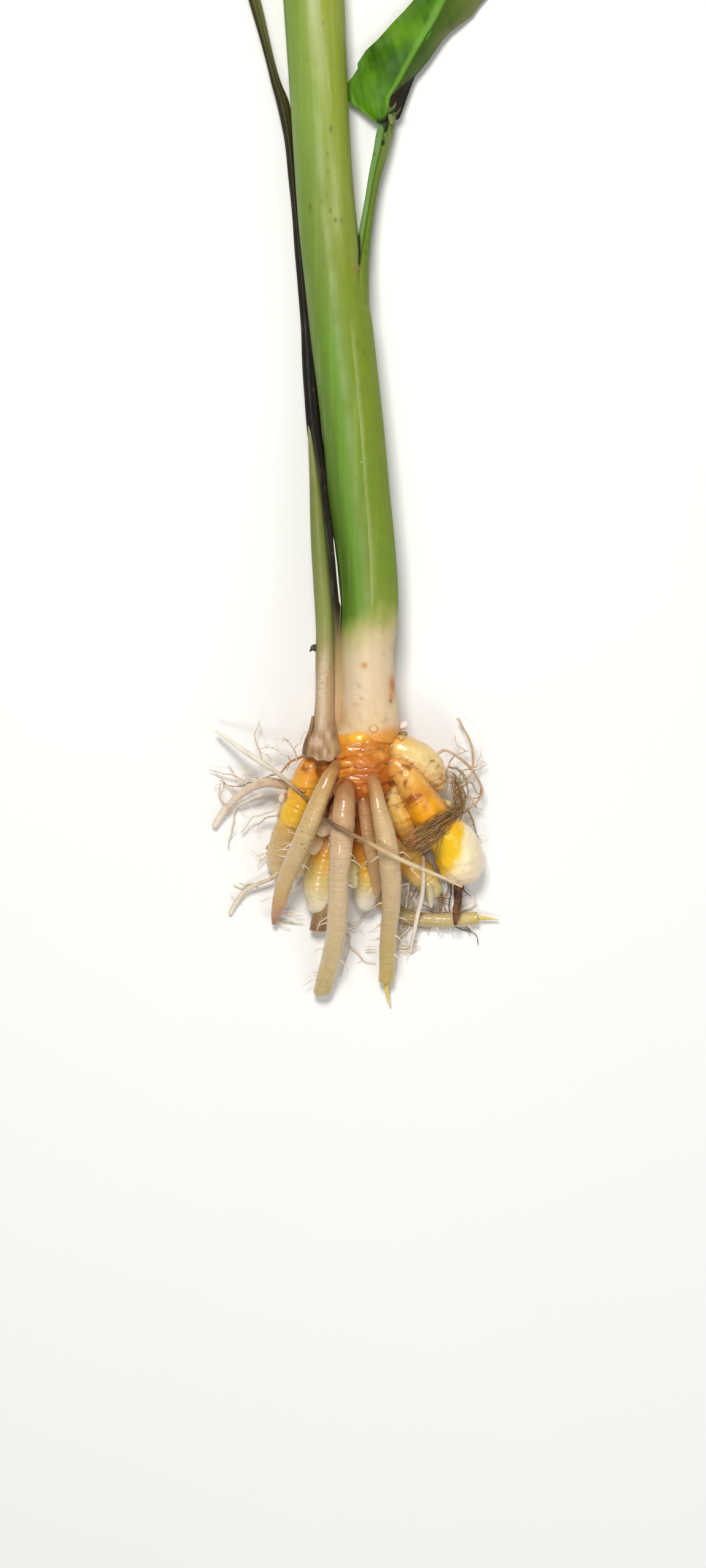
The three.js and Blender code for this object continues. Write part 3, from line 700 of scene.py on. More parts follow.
RHIZOME_LIMBS = {
    "crown": finger(
        [(6, 19.5, 22, 8.6), (5.6, 14, 21.5, 11.4), (4.6, 7.5, 20.6, 13.2), (4, 0, 19.8, 13.5),
         (4, -6.5, 19.2, 11.6), (4, -11, 18.6, 6.6)],
        [(0, 226, 162, 66), (0.3, 214, 134, 34), (0.6, 202, 114, 24), (1, 182, 92, 18)]),
    "left_lobe": finger(
        [(4, 2, 20, 8), (-5, 3, 21, 7.6), (-11, 2.4, 21, 6)],
        [(0, *DEEP_ORANGE), (1, *ORANGE)]),
    "left": finger(
        [(-11.5, 4, 22, 5.2), (-14.6, -1.5, 21.5, 5.5), (-17.2, -8, 19, 5.6), (-19.8, -14.5, 15.8, 5.4),
         (-22.8, -22, 12, 5.2), (-25.3, -29, 7.8, 4.9), (-26.6, -34, 4.6, 3.9)],
        [(0, 218, 130, 36), (0.14, 238, 168, 56), (0.36, 246, 190, 50), (0.5, 246, 196, 60),
         (0.58, 218, 174, 88), (0.7, 212, 178, 120), (0.86, 218, 188, 136), (1, 228, 202, 154)],
        rings=[0.2, 0.4, 0.55, 0.72, 0.86], ringed=0.5),
    "lower_left": finger(
        [(-6, -12, 17, 4), (-10, -20, 14, 4.4), (-13, -26, 11, 4.6), (-16, -31.5, 8, 4.3),
         (-18.3, -35.6, 6.2, 3)],
        [(0, 210, 132, 40), (0.35, 222, 176, 78), (0.6, 226, 200, 124), (1, 236, 218, 170)],
        rings=[0.4, 0.62, 0.84], ringed=0.2),
    "lower_middle": finger(
        [(-2, -9, 17, 5), (-6, -20, 14.5, 5.3), (-9.5, -32, 10, 5.7), (-11.2, -41, 7, 5.6),
         (-11.4, -48.6, 5.4, 4.3)],
        [(0, 186, 104, 28), (0.34, 194, 112, 26), (0.46, 220, 150, 40), (0.58, 232, 182, 72),
         (0.72, 222, 194, 116), (0.88, 230, 210, 150), (1, 240, 228, 194)],
        rings=[0.34, 0.5, 0.66, 0.82, 0.93], ringed=0.25),
    "lower_right": finger(
        [(4, -9, 18, 5), (5.6, -22, 16, 5.6), (6.4, -32, 12, 5.8), (6.8, -41, 8.6, 5.5),
         (6.2, -47.4, 6.4, 4)],
        [(0, 168, 88, 24), (0.38, 168, 90, 22), (0.5, 214, 138, 28), (0.64, 242, 184, 40),
         (0.78, 240, 206, 100), (0.88, 244, 226, 176), (1, 248, 240, 220)],
        rings=[0.34, 0.5, 0.64, 0.78, 0.9], ringed=0.25),
    "lower_right_bud": finger(
        [(4.5, -29, 13, 2.6), (1.6, -35.5, 13, 3.2), (2.2, -40.6, 11.5, 2.4)],
        [(0, 222, 160, 56), (0.4, 248, 230, 150), (1, 252, 244, 196)],
        rings=[0.6], ringed=0.3),
    "bulb": finger(
        [(12, 3.5, 23, 4.4), (17.6, 2.2, 25, 4.6), (21, -1.8, 25.6, 5.1), (24, -6.4, 25, 5.7),
         (27.2, -11.4, 23, 6.4), (31, -17, 19.6, 6.9), (36, -22.6, 15, 7.6), (39.2, -27.2, 11.6, 8.7),
         (40.6, -31, 9.8, 9.1), (41.2, -33.4, 9.2, 8.6)],
        [(0, 206, 122, 36), (0.1, 228, 166, 78), (0.2, 236, 182, 96), (0.3, 232, 166, 66),
         (0.36, 220, 146, 40), (0.42, 246, 170, 22), (0.56, 242, 160, 20), (0.64, 244, 170, 26),
         (0.74, 250, 196, 30), (1, 244, 216, 120)],
        rings=[0.14, 0.355, 0.56], ringed=0.5),
    "upper_right": finger(
        [(11, 8, 22, 4.4), (17, 8.2, 23, 5.4), (22.8, 6.4, 23, 5.9), (27.6, 3.4, 21.8, 5.8),
         (31, -0.6, 19.2, 5), (32.6, -3.6, 17, 3.7)],
        [(0, 228, 156, 60), (0.2, 234, 188, 98), (0.45, 238, 208, 140), (1, 230, 196, 134)],
        rings=[0.42, 0.66, 0.85], ringed=0.35),
    "inner_right": finger(
        [(11, -5, 21, 3.6), (14.6, -7.8, 22, 3.6), (17.4, -13.8, 19.8, 3.8), (20.4, -20, 17, 3.9),
         (22.8, -25, 14.8, 3)],
        [(0, 206, 130, 50), (0.18, 236, 200, 130), (0.34, 236, 190, 96), (0.56, 242, 194, 88),
         (0.8, 226, 158, 62), (1, 196, 116, 66)],
        rings=[0.2, 0.34, 0.58, 0.78], ringed=0.45),
    "rear_right": finger(
        [(13, -20, 11, 5), (20, -30, 8.6, 5.2), (27, -38, 7.2, 5.2), (31, -43.2, 6.2, 3.6)],
        [(0, 198, 116, 36), (0.5, 222, 168, 66), (1, 214, 196, 130)],
        rings=[0.3, 0.55, 0.8], ringed=0.55),
    "heel": finger(
        [(4, 12, 17, 7), (2, 5, 7.6, 7.4), (0, -3, 6.8, 6.9), (-3, -13, 6.2, 6), (-5, -23, 6.7, 4.6)],
        [(0, 206, 118, 34), (0.5, 214, 146, 52), (1, 226, 196, 116)],
        rings=[0.3, 0.5, 0.7, 0.86], ringed=0.55),
    "under_right": finger(
        [(8, 2, 14, 6.5), (16, -6, 8, 6.3), (22, -15, 5.9, 5.6), (26, -24, 5.8, 4.2)],
        [(0, 200, 112, 32), (0.5, 218, 156, 60), (1, 226, 206, 136)],
        rings=[0.35, 0.55, 0.76], ringed=0.55),
    "bud_by_stem": finger(
        [(14, 15, 19.5, 1.6), (18, 16.4, 19.6, 1.4), (20.4, 17.4, 19.8, 1.6)],
        [(0, 206, 130, 80), (0.45, 222, 176, 160), (1, 240, 222, 214)]),
    "bud_by_stem_small": finger(
        [(14, 12, 18, 1.6), (18.6, 13.6, 17.4, 1.3), (20.6, 14, 17, 1.2)],
        [(0, 206, 140, 60), (1, 172, 156, 86)]),
    "bud_middle": finger(
        [(-5, -15, 20, 2.2), (-9.6, -21, 22.4, 2.7)],
        [(0, 206, 134, 62), (0.5, 240, 200, 144), (1, 250, 228, 190)]),
    "bud_lower": finger(
        [(-8, -22, 14, 2), (-12, -26.6, 18, 2.4), (-13, -28.6, 18.4, 1.8)],
        [(0, 206, 134, 62), (0.6, 242, 204, 152), (1, 246, 218, 180)]),
    "bud_left_upper": finger(
        [(-17, -7, 18, 2.6), (-23, -9, 17.4, 2.3), (-24.4, -9.8, 17, 1.6)],
        [(0, 222, 168, 84), (0.6, 238, 210, 176), (1, 240, 216, 196)]),
    "bud_left_lower": finger(
        [(-20, -12, 16, 2), (-24.8, -14.6, 14.6, 1.8), (-25.6, -18.2, 13.2, 1.1)],
        [(0, 214, 180, 110), (0.5, 234, 214, 168), (1, 240, 226, 190)]),
    "bud_right": finger(
        [(30, 0, 19.5, 2.5), (34.8, -0.6, 18, 2), (37, -0.9, 17.2, 1.5)],
        [(0, 222, 186, 130), (0.5, 226, 206, 178), (1, 196, 176, 150)]),
    "bud_on_bulb": finger(
        [(30, -14, 19, 3.4), (34.4, -12.4, 18.6, 2.7), (36.2, -12.2, 18, 1.8)],
        [(0, 228, 140, 36), (0.6, 240, 190, 96), (1, 244, 212, 150)]),
}

# Where the bulb's yellow side meets its pale side, as (y, x).
BULB_PALE_EDGE = [
    (-41, 33), (-38, 36), (-35, 38.6), (-31, 40.2), (-28, 40.9), (-25, 41.6), (-22, 42), (-18, 43),
]

# Round scars of lost roots, seen from above: x, y and the rim's radius.
ROOT_SCARS = [(20.7, -0.3, 0.8), (30.6, -14.6, 0.9), (-16.5, -6.5, 0.8), (14.4, -7.2, 1.1)]

# Brown marks on the fingers, seen from above: x, y, size across, size up, strength.
RHIZOME_MARKS = [
    (19.0, 12.4, 1.6, 0.35, 0.8), (22.6, 12.8, 2.2, 0.3, 0.9), (25.6, 11.8, 1.0, 0.35, 0.7),
    (21.6, 1.6, 2.2, 0.5, 0.85), (29.8, 3.6, 0.9, 0.5, 0.6), (32.6, 1.6, 0.7, 0.9, 0.6),
    (33.6, -2.0, 0.8, 1.1, 0.6), (17.8, -0.4, 1.3, 0.8, 0.6), (20.4, -4.4, 0.9, 1.6, 0.8),
    (22.4, -8.7, 0.5, 2.2, 0.8), (24.6, -11.4, 1.4, 0.4, 0.6), (-15.6, 1.6, 1.6, 1.0, 0.8),
    (-11.4, 0.6, 1.2, 1.6, 0.8), (-18.2, -7.6, 1.8, 0.4, 0.6), (-23.2, -8.8, 0.7, 1.2, 0.6),
    (-20.8, -20.6, 1.6, 0.4, 0.5), (18.6, -12.6, 1.4, 0.45, 0.7), (20.6, -17.6, 1.2, 0.5, 0.7),
    (16.8, -8.2, 1.5, 0.4, 0.6), (27.6, -12.9, 0.5, 1.3, 0.4),
]

# The crown's folds, seen from above: the height at its middle, the slope across it, where the fold starts and
# stops on either side of the middle, and its depth.
CROWN_FOLDS = [
    (10.6, 0.5, -9, 2.6, 0.8), (8.4, -0.22, 1.5, 14, 0.6), (5.6, 0.14, -10, 9, 1.0),
    (3.4, -0.1, 3, 15, 0.6), (1.2, 0.16, -12, 13, 1.0), (-1.8, 0.2, -12, 8, 0.9),
    (-3.6, -0.05, 1, 13, 0.7), (-6.0, 0.16, -9, 10, 0.9), (-9.0, 0.1, -8, 9, 0.6),
]
# Where the crown's orange gives way to the shoot's pale base: the height at its middle and the slope.
BASE_EDGE = 14.0
BASE_LEAN = 0.13
RING_SLANT = 0.22  # how far a ring leans, as a share of the limb's radius
CROWN_X = 4.0  # where the middle of the crown is, across
VOXEL = 0.465  # the grid that the rhizome's limbs are joined on
JOIN_SOFTNESS = 0.35  # how far one limb's look carries on into the next


def nearest_on(points, route):
    """For each point, from the nearest of a limb's centres: its height over the limb's plain surface, its
    distance along the limb, its angle, and the limb's radius there; and the limb's length."""
    rows, along, *axes = framed(route, 0.5)
    centres, radii = rows[:, :3], rows[:, 3]
    squared = (points**2).sum(1)[:, None] + (centres**2).sum(1)[None] - 2 * points @ centres.T
    height = np.sqrt(np.maximum(squared, 0)) - radii[None]
    j = height.argmin(axis=1)
    ahead, across, up = (np.einsum("ij,ij->i", points - centres[j], axis[j]) for axis in axes)
    return height[np.arange(len(points)), j], along[j] + ahead, np.arctan2(up, across), radii[j], along[-1]


def read_all(items, key, size, kind=float):
    """One property of every item of a mesh, size numbers each, as an array."""
    values = np.empty(len(items) * size, kind)
    items.foreach_get(key, values)
    return values.reshape(-1, size)


def fused_skin(forms, voxel):
    """The forms joined into one closed skin: their union rebuilt on a grid of voxels, and softened."""
    cores = make_mesh("rhizome_cores", gather(forms))
    core = new_object("rhizome_cores", cores)
    remesh = core.modifiers.new("fuse", "REMESH")
    remesh.mode = "VOXEL"
    remesh.voxel_size = voxel * MM
    soften = core.modifiers.new("soften", "SMOOTH")
    soften.factor = 0.5
    soften.iterations = 4
    mesh = bpy.data.meshes.new_from_object(core.evaluated_get(bpy.context.evaluated_depsgraph_get()))
    points, normals = (read_all(mesh.vertices, key, 3) for key in ("co", "normal"))
    quads = read_all(mesh.loops, "vertex_index", 1, np.int32)
    bpy.data.objects.remove(core)
    for spent in (cores, mesh):
        bpy.data.meshes.remove(spent)
    return Form(points / MM, quads), normals


def crown_relief(points):
    """The crown's folds: each a wandering line across the stem, a groove with a swollen lip below it, that
    comes and goes along its length; and low lumps between them. Returns the height and the grooves' mask."""
    x, y = points[:, 0] - CROWN_X, points[:, 1]
    wander = 1.5 * mottle(points, (5.5, 5, 7)) + 0.6 * mottle(points + 31, (2.2, 2.2, 2.6))
    lift = 0.75 * mottle(points + 7, (5.5, 3.2, 4.6)) + 0.3 * mottle(points + 90, (2.4, 1.7, 2.4))
    hollow = np.zeros(len(points))
    for number, (middle, slope, start, stop, depth) in enumerate(CROWN_FOLDS):
        away = y - middle - slope * x + wander
        reach = ease(start - 2, start + 2, x) * ease(stop + 2, stop - 2, x)
        strength = depth * reach * (0.35 + 0.65 * ease(-0.5, 0.5, mottle(points + 17 * number, 4.5)))
        lift += strength * (0.36 * bump(away, -0.95, 0.9) - 0.42 * bump(away, 0, 0.4))
        hollow = np.maximum(hollow, strength * bump(away, 0, 0.32))
    return lift, hollow


def ring_relief(s, angle, radius, length, rings, start):
    """A limb's leaf-scar rings: at each, a thin lip with a groove below it, both leaning a little. Returns
    the height and the grooves' mask."""
    height, groove = np.zeros((2, len(s)))
    for number, share in enumerate(rings):
        away = s - share * length - RING_SLANT * radius * np.sin(angle + start + 1.7 * number)
        height += 0.34 * bump(away, 0, 0.42) - 0.26 * bump(away, 0.95, 0.5)
        groove += bump(away, 0.75, 0.42)
    return height, np.minimum(groove, 1)


def over_base_edge(points, wander):
    """How far points lie above the leaning line where the crown's orange meets the shoot's pale base."""
    return points[:, 1] - BASE_EDGE - BASE_LEAN * (points[:, 0] - CROWN_X) + wander


def crown_fade(points):
    """1 on the crown, and 0 where its folds have faded out, up the shoot and to either side."""
    return ease(15.5, 11.5, points[:, 1]) * ease(-24, -14, -np.abs(points[:, 0] - CROWN_X))


def paint_limb(name, tone, points, share, angle, broad, folds, gaps):
    """The colours that don't simply run along a limb: the crown's folds, with painted shade in their grooves
    and painted highlight on their raised crests, pale young ends, sunny sides.
    """
    x, y = points[:, 0], points[:, 1]
    if name in ("crown", "left_lobe"):
        fade = crown_fade(points)
        patchy = ease(-0.4, 0.5, mottle(points + 77, (4, 2.4, 4)))
        deep = ease(0.1, 0.6, mottle(points + 55, (3, 1.8, 3)))
        tone = dye(
            tone,
            (176, 80, 12, (0.45 * patchy + 0.3 * deep) * fade),
            # painted shade: dark red-brown in the grooves between the crown's folds
            (116, 50, 12, 0.8 * np.minimum(gaps * fade, 1)),
            # painted highlight: paler orange on the raised folds
            (248, 184, 66, 0.6 * (1 - patchy) * ease(0.0, 0.8, folds) * fade),
        )
    if name == "crown":
        patch = bump(x, 2.8 + broad, 4.4) * bump(y, 12.8 + 0.6 * broad, 1.7)
        pale = ease(-0.5, 1.6, over_base_edge(points, 1.1 * broad))
        tone = dye(tone, (252, 196, 42, 0.9 * patch), (222, 192, 146, pale))
    if name == "left":
        tone = dye(tone, (240, 204, 86, 0.6 * ease(0.1, 0.9, np.cos(angle + 2.4)) * ease(0.62, 0.4, share)))
    if name == "upper_right":
        low = ease(0.25, -0.75, np.sin(angle)) + ease(0.8, 0.3, share) * ease(7.5, 2.5, y + 0.42 * (x - 20))
        torn = ease(0.35, 0.7, mottle(points + 3, (1.6, 1.2, 1.6))) * ease(0.5, 0.75, share)
        tone = dye(tone, (176, 106, 44, 0.6 * torn), (224, 150, 48, np.clip(low + 0.5 * broad, 0, 1)))
    if name == "bulb":
        across = x - np.interp(y, *zip(*BULB_PALE_EDGE)) + 0.9 * broad
        tone = dye(tone, (255, 204, 20, 0.9 * ease(-13.5, -8.0, across) * ease(-18, -23, y)))
        soft = np.interp(y, [-38, -28, -20], [3.2, 1.2, 0.8])
        pale = ease(-soft, soft, across) * ease(-15, -18.5, y)
        tone = mix(tone, shade(across, [(2, 252, 234, 188), (7, 246, 226, 190)]), pale)
        down = (x - 27.5) * 0.585 - (y + 8) * 0.811
        along_scar = (27.5 - x) * 0.811 - (y + 8) * 0.585
        ragged = down + 0.8 * mottle(points, 1.6)
        scar = ease(0.3, -0.3, down) * ease(-0.9 - 0.5 * along_scar, 0.2 - 0.4 * along_scar, ragged)
        scar = scar * ease(-0.5, 0.6, along_scar) * ease(8.6, 7.0, along_scar)
        tip = 0.5 * ease(-36, -40, y + broad)
        tone = dye(tone, (238, 204, 168, tip), (168, 88, 24, 0.85 * np.clip(scar, 0, 1)))
    return tone


def build_rhizome():
    """One skin over the fused limbs. Each point takes its limb's relief and colour, blended where limbs meet
    by exp(-(height - the least height) / JOIN_SOFTNESS), with a crease along each join and the scars of
    lost roots. The grooves, the creases and the scars make the mark that the finish paints red-brown:
    partly their own colour, partly painted shade."""
    cores = [limb(item["route"], sides=28, step=0.8) for item in RHIZOME_LIMBS.values()]
    form, normals = fused_skin(cores, VOXEL)
    points = form.points
    folds, gaps = crown_relief(points)
    broad = rough(points, 6.0)
    fields = []
    for row, (name, item) in enumerate(RHIZOME_LIMBS.items()):
        height, s, angle, radius, length = nearest_on(points, item["route"])
        lift, groove = ring_relief(s, angle, radius, length, item["rings"], 0.9 * row)
        lift, groove = lift * item["ringed"], groove * item["ringed"]
        if name in ("crown", "left_lobe"):
            lift, groove = folds * crown_fade(points), 0.7 * gaps * crown_fade(points)
        tone = shade(s / length + 0.05 * broad, item["stops"])
        tone = paint_limb(name, tone, points, s / length, angle, broad, folds, gaps)
        fields.append((height, lift, groove, tone, about(radius, angle, s + 40 * row)))
    heights, relief, grooves, colours, grains = (np.array(field) for field in zip(*fields))
    closeness = np.exp(-(heights - heights.min(axis=0)) / JOIN_SOFTNESS)
    closeness /= closeness.sum(axis=0)
    lift, hollow = (closeness * relief).sum(axis=0), (closeness * grooves).sum(axis=0)
    second = np.sort(heights, axis=0)[1]
    crease = bump(np.maximum(second, 0), 0, 0.9) * (heights.min(axis=0) > -1.5)
    for x, y, rim in ROOT_SCARS:
        away = np.hypot(points[:, 0] - x, 1.3 * (points[:, 1] - y)) + 0.45 * mottle(points + 5, 1.3)
        up = normals[:, 2] > 0.3
        lift += up * (0.2 * bump(away, rim, 0.3) - 0.14 * ease(rim, 0.5 * rim, away))
        hollow += up * 0.45 * bump(away, rim * 0.8, 0.35)
    lift += 0.16 * broad + 0.07 * rough(points + 50, 1.6, 2) - 0.25 * crease
    smear = together(mottle(points + 11, 1.5), mottle(points + 23, 1.5), 0)
    marks = front_marks(points + 1.3 * smear, RHIZOME_MARKS, normals[:, 2] > 0.1)
    # brown patches on the faces that look down towards the ground
    downward_brown = ease(0.25, 0.9, rough(points + 90, (3.5, 3.5, 3.5))) * ease(0.2, -0.5, normals[:, 2])
    tint = dye(
        np.einsum("rn,rnc->nc", closeness, colours),
        (146, 78, 22, 0.85 * np.clip(1.5 * marks, 0, 1)),
        (150, 96, 44, 0.5 * downward_brown),
    )
    # the mark: high in the grooves, the creases along the joins and the scars, painted dark there partly as
    # shade
    stain_and_groove_shade = np.clip(hollow, 0, 1) * 0.75 + 0.55 * crease + 0.12
    grain = grains[heights.argmin(axis=0), np.arange(len(points))]
    skin = Form(points + normals * lift[:, None], form.quads, grain=grain)
    skin.paint(np.clip(tint, 0, 1), np.clip(stain_and_groove_shade, 0, 1))
    add_piece("rhizome_skin", skin, "rhizome_skin", "rhizome")


# ---- Storage roots ----


def fleshy(route, stops, tip=ROUND, shear=0.0, core=None):
    """A root: its route (x, y, z, radius), its colours at shares of its length, its tip's rings and slant,
    and its bared core's route."""
    return {"route": route, "stops": stops, "tip": tip, "shear": shear, "core": core}


STORAGE_ROOTS = {
    "left": fleshy(
        [(-4.6, 2.4, 31, 2.3), (-6.7, -1, 33.5, 2.7), (-9.8, -8, 34.5, 3.2), (-13.7, -17.8, 32, 3.6),
         (-18, -27.4, 26, 3.6), (-21.7, -35.5, 19, 3.3), (-24.3, -43, 13, 2.9), (-26.2, -49.4, 7.6, 2.4),
         (-27.4, -53.6, 4.8, 1.5), (-27.6, -55.4, 4, 1.2)],
        [(0, 176, 126, 64), (0.08, 198, 154, 92), (0.3, 214, 182, 126), (0.52, 218, 188, 138),
         (0.72, 220, 184, 126), (0.88, 214, 170, 108), (0.96, 196, 142, 104), (1, 184, 132, 106)],
        shear=0.3),
    "centre": fleshy(
        [(-0.6, -4, 30, 3), (-1.4, -8, 34.5, 3.8), (-2.3, -17.8, 37, 4.3), (-3, -27.4, 35.5, 4.2),
         (-3.6, -37, 31.5, 3.75), (-3.9, -46.7, 26, 3.65), (-4.8, -58, 18.5, 3.6),
         (-6.4, -67.6, 11.5, 3.6), (-8.7, -76.4, 6, 3.4), (-9.9, -81.2, 4, 3.2)],
        [(0, 160, 98, 50), (0.06, 176, 122, 74), (0.16, 200, 156, 112), (0.32, 218, 186, 146),
         (0.55, 224, 196, 152), (0.78, 220, 194, 144), (0.92, 204, 180, 126), (1, 196, 170, 114)],
        tip=SNAPPED, shear=0.34),
    "right": fleshy(
        [(8, -1, 29, 2.2), (9.2, -5, 32.5, 2.6), (10.8, -13, 35, 3.1), (13, -22.6, 34.5, 4),
         (14.6, -32, 30.5, 4.1), (15.4, -42, 25, 3.7), (15.3, -50, 20, 3.3), (14.6, -58, 14.5, 3.2),
         (14.2, -67.6, 8.5, 3.05), (13.8, -77, 4.2, 2.8)],
        [(0, 182, 124, 66), (0.07, 196, 148, 96), (0.22, 210, 176, 128), (0.42, 218, 188, 142),
         (0.6, 216, 186, 140), (0.8, 210, 180, 122), (0.94, 204, 176, 106), (1, 206, 166, 88)],
        tip=SNAPPED, shear=0.05,
        core=[(13.85, -76.5, 4.2, 0.9), (13.9, -79.5, 3.6, 0.8), (14.3, -82.5, 2.8, 0.65),
              (15.3, -86.9, 1.2, 0.3)]),
    "rear": fleshy(
        [(5, -8, 27, 2.2), (5.8, -15, 27.5, 2.5), (6.8, -22, 26, 2.5), (8, -29, 22.5, 2.4),
         (9.5, -37, 18.2, 2.2), (10.2, -44, 14, 1.4)],
        [(0, 164, 106, 56), (0.2, 190, 144, 96), (0.6, 206, 164, 116), (1, 208, 170, 118)]),
    "low": fleshy(
        [(7, -41, 7, 2.2), (12, -48, 4.4, 2.6), (19, -52.6, 3.2, 2.65), (27, -54.3, 3.1, 2.6),
         (37, -54.8, 3.1, 2.7), (47.6, -54, 3.1, 2.5)],
        [(0, 178, 144, 84), (0.4, 186, 162, 108), (0.7, 202, 180, 126), (0.9, 212, 188, 126),
         (1, 208, 182, 110)],
        tip=SNAPPED, shear=0.05,
        core=[(46.6, -54, 3.1, 0.75), (49.5, -54, 3.1, 0.7), (52.5, -54.3, 2.7, 0.5),
              (55.3, -54.8, 2.1, 0.25)]),
    "stub": fleshy(
        [(-9, -44, 5.2, 3.2), (-9.5, -51, 4.9, 3.8), (-11.6, -58.4, 4.4, 3.1)],
        [(0, 170, 140, 92), (0.5, 160, 128, 86), (1, 140, 106, 70)],
        tip=SNAPPED, shear=0.2),
    "young": fleshy(
        [(28.5, -38, 9, 1.5), (29.9, -44, 10, 1.5), (30.3, -49.4, 8.6, 0.6)],
        [(0, 196, 176, 116), (1, 226, 216, 184)]),
}
DEAD_ROOT = [
    (41.6, -35.5, 8.2, 1.8), (40.6, -42, 8.4, 2), (40.2, -47.5, 8.8, 1.7), (39.4, -53, 9, 1.2),
    (39.2, -56.4, 8.8, 0.7),
]
FLESH = (226, 200, 144)
CORE = (228, 190, 92)
# The colours of a snapped face, from its middle (a share of the width) out to the skin.
SNAPPED_FACE = [(0.36, *CORE), (0.5, 176, 128, 66), (0.56, *FLESH), (0.88, *FLESH), (0.97, 170, 130, 82)]
CORE_TONE = [(0, 226, 190, 84), (0.5, 236, 208, 96), (1, 238, 226, 176)]


def root_skin(seed, size=1.0):
    """Extra radius of a fleshy root: low swellings, a slow waist or two, fine wrinkles drawn out round it."""

    def skin(s, a, centre):
        place = about(3, a, s) + (5 * seed, 0, 0)
        swell = 0.2 * mottle(place, (6, 6, 9)) + 0.1 * mottle(place + 9, (2.6, 2.6, 3.4))
        fine = 0.055 * mottle(place, (3.4, 3.4, 0.75)) + 0.04 * mottle(place + 4, (2.2, 2.2, 1.5))
        fold = 0.09 * np.minimum(mottle(place + 17, (5, 5, 1.6)) + 0.25, 0)
        return size * (swell + fine + fold)

    return skin


def build_storage_root(name, item, seed):
    """One fleshy root, its snapped face and its bared core. The face goes from skin through pale flesh to the
    core's yellow as its rings close in."""
    form = limb(item["route"], sides=60, step=0.3, skin=root_skin(seed), tip=item["tip"], shear=item["shear"])
    wander = 0.06 * mottle(form.points, 8) + 0.03 * mottle(form.points, 2.5)
    tint = shade(form.along / form.length + wander, item["stops"])
    tint = dye(tint, (150, 90, 46, 0.5 * ease(5.0, 1.0, form.along + 1.5 * mottle(form.points, 2.5))))
    if item["tip"] is SNAPPED:
        at_tip = (form.along > 0.5 * form.length) & (form.share < 0.995)
        tint = np.where(at_tip[:, None], shade(form.share, SNAPPED_FACE), tint)
    spots = mottle(form.points + 60, 1.1) * 0.6 + mottle(form.points + 25, 9) * 0.5
    forms = [form.paint(tint, 0.5 * ease(0.72, 0.92, spots))]
    if item["core"]:
        core = limb(item["core"], sides=14, step=0.4, skin=root_skin(seed + 3, 0.4))
        forms.append(core.paint(shade(core.along / core.length, CORE_TONE)))
    piece = "storage_root_" + name
    add_piece(piece + "_skin", gather(forms), "storage_root_skin", piece)


def build_dead_root():
    """The shrivelled root beside the bulb: deep lengthwise folds round a wasted core."""

    def withered(s, a, centre):
        place = about(3, a, s)
        folds = -0.45 * np.abs(np.sin(2.5 * a + 0.35 * s))
        return folds + 0.35 * mottle(place, (2, 2, 2.4)) + 0.1 * mottle(place, 0.8)

    form = limb(DEAD_ROOT, sides=40, step=0.3, skin=withered, tip=SNAPPED)
    tint = dye(full((84, 46, 22), form.along), (126, 82, 46, ease(0, 0.8, mottle(form.points, 3))))
    add_piece("storage_root_dead_skin", form.paint(tint), "dead_root_skin", "storage_root_dead")


# ---- Fibrous roots, hair roots and fibres ----

PALE = (240, 226, 206)
TAN = (222, 196, 164)
BROWN = (176, 138, 98)
OLIVE = (172, 154, 104)

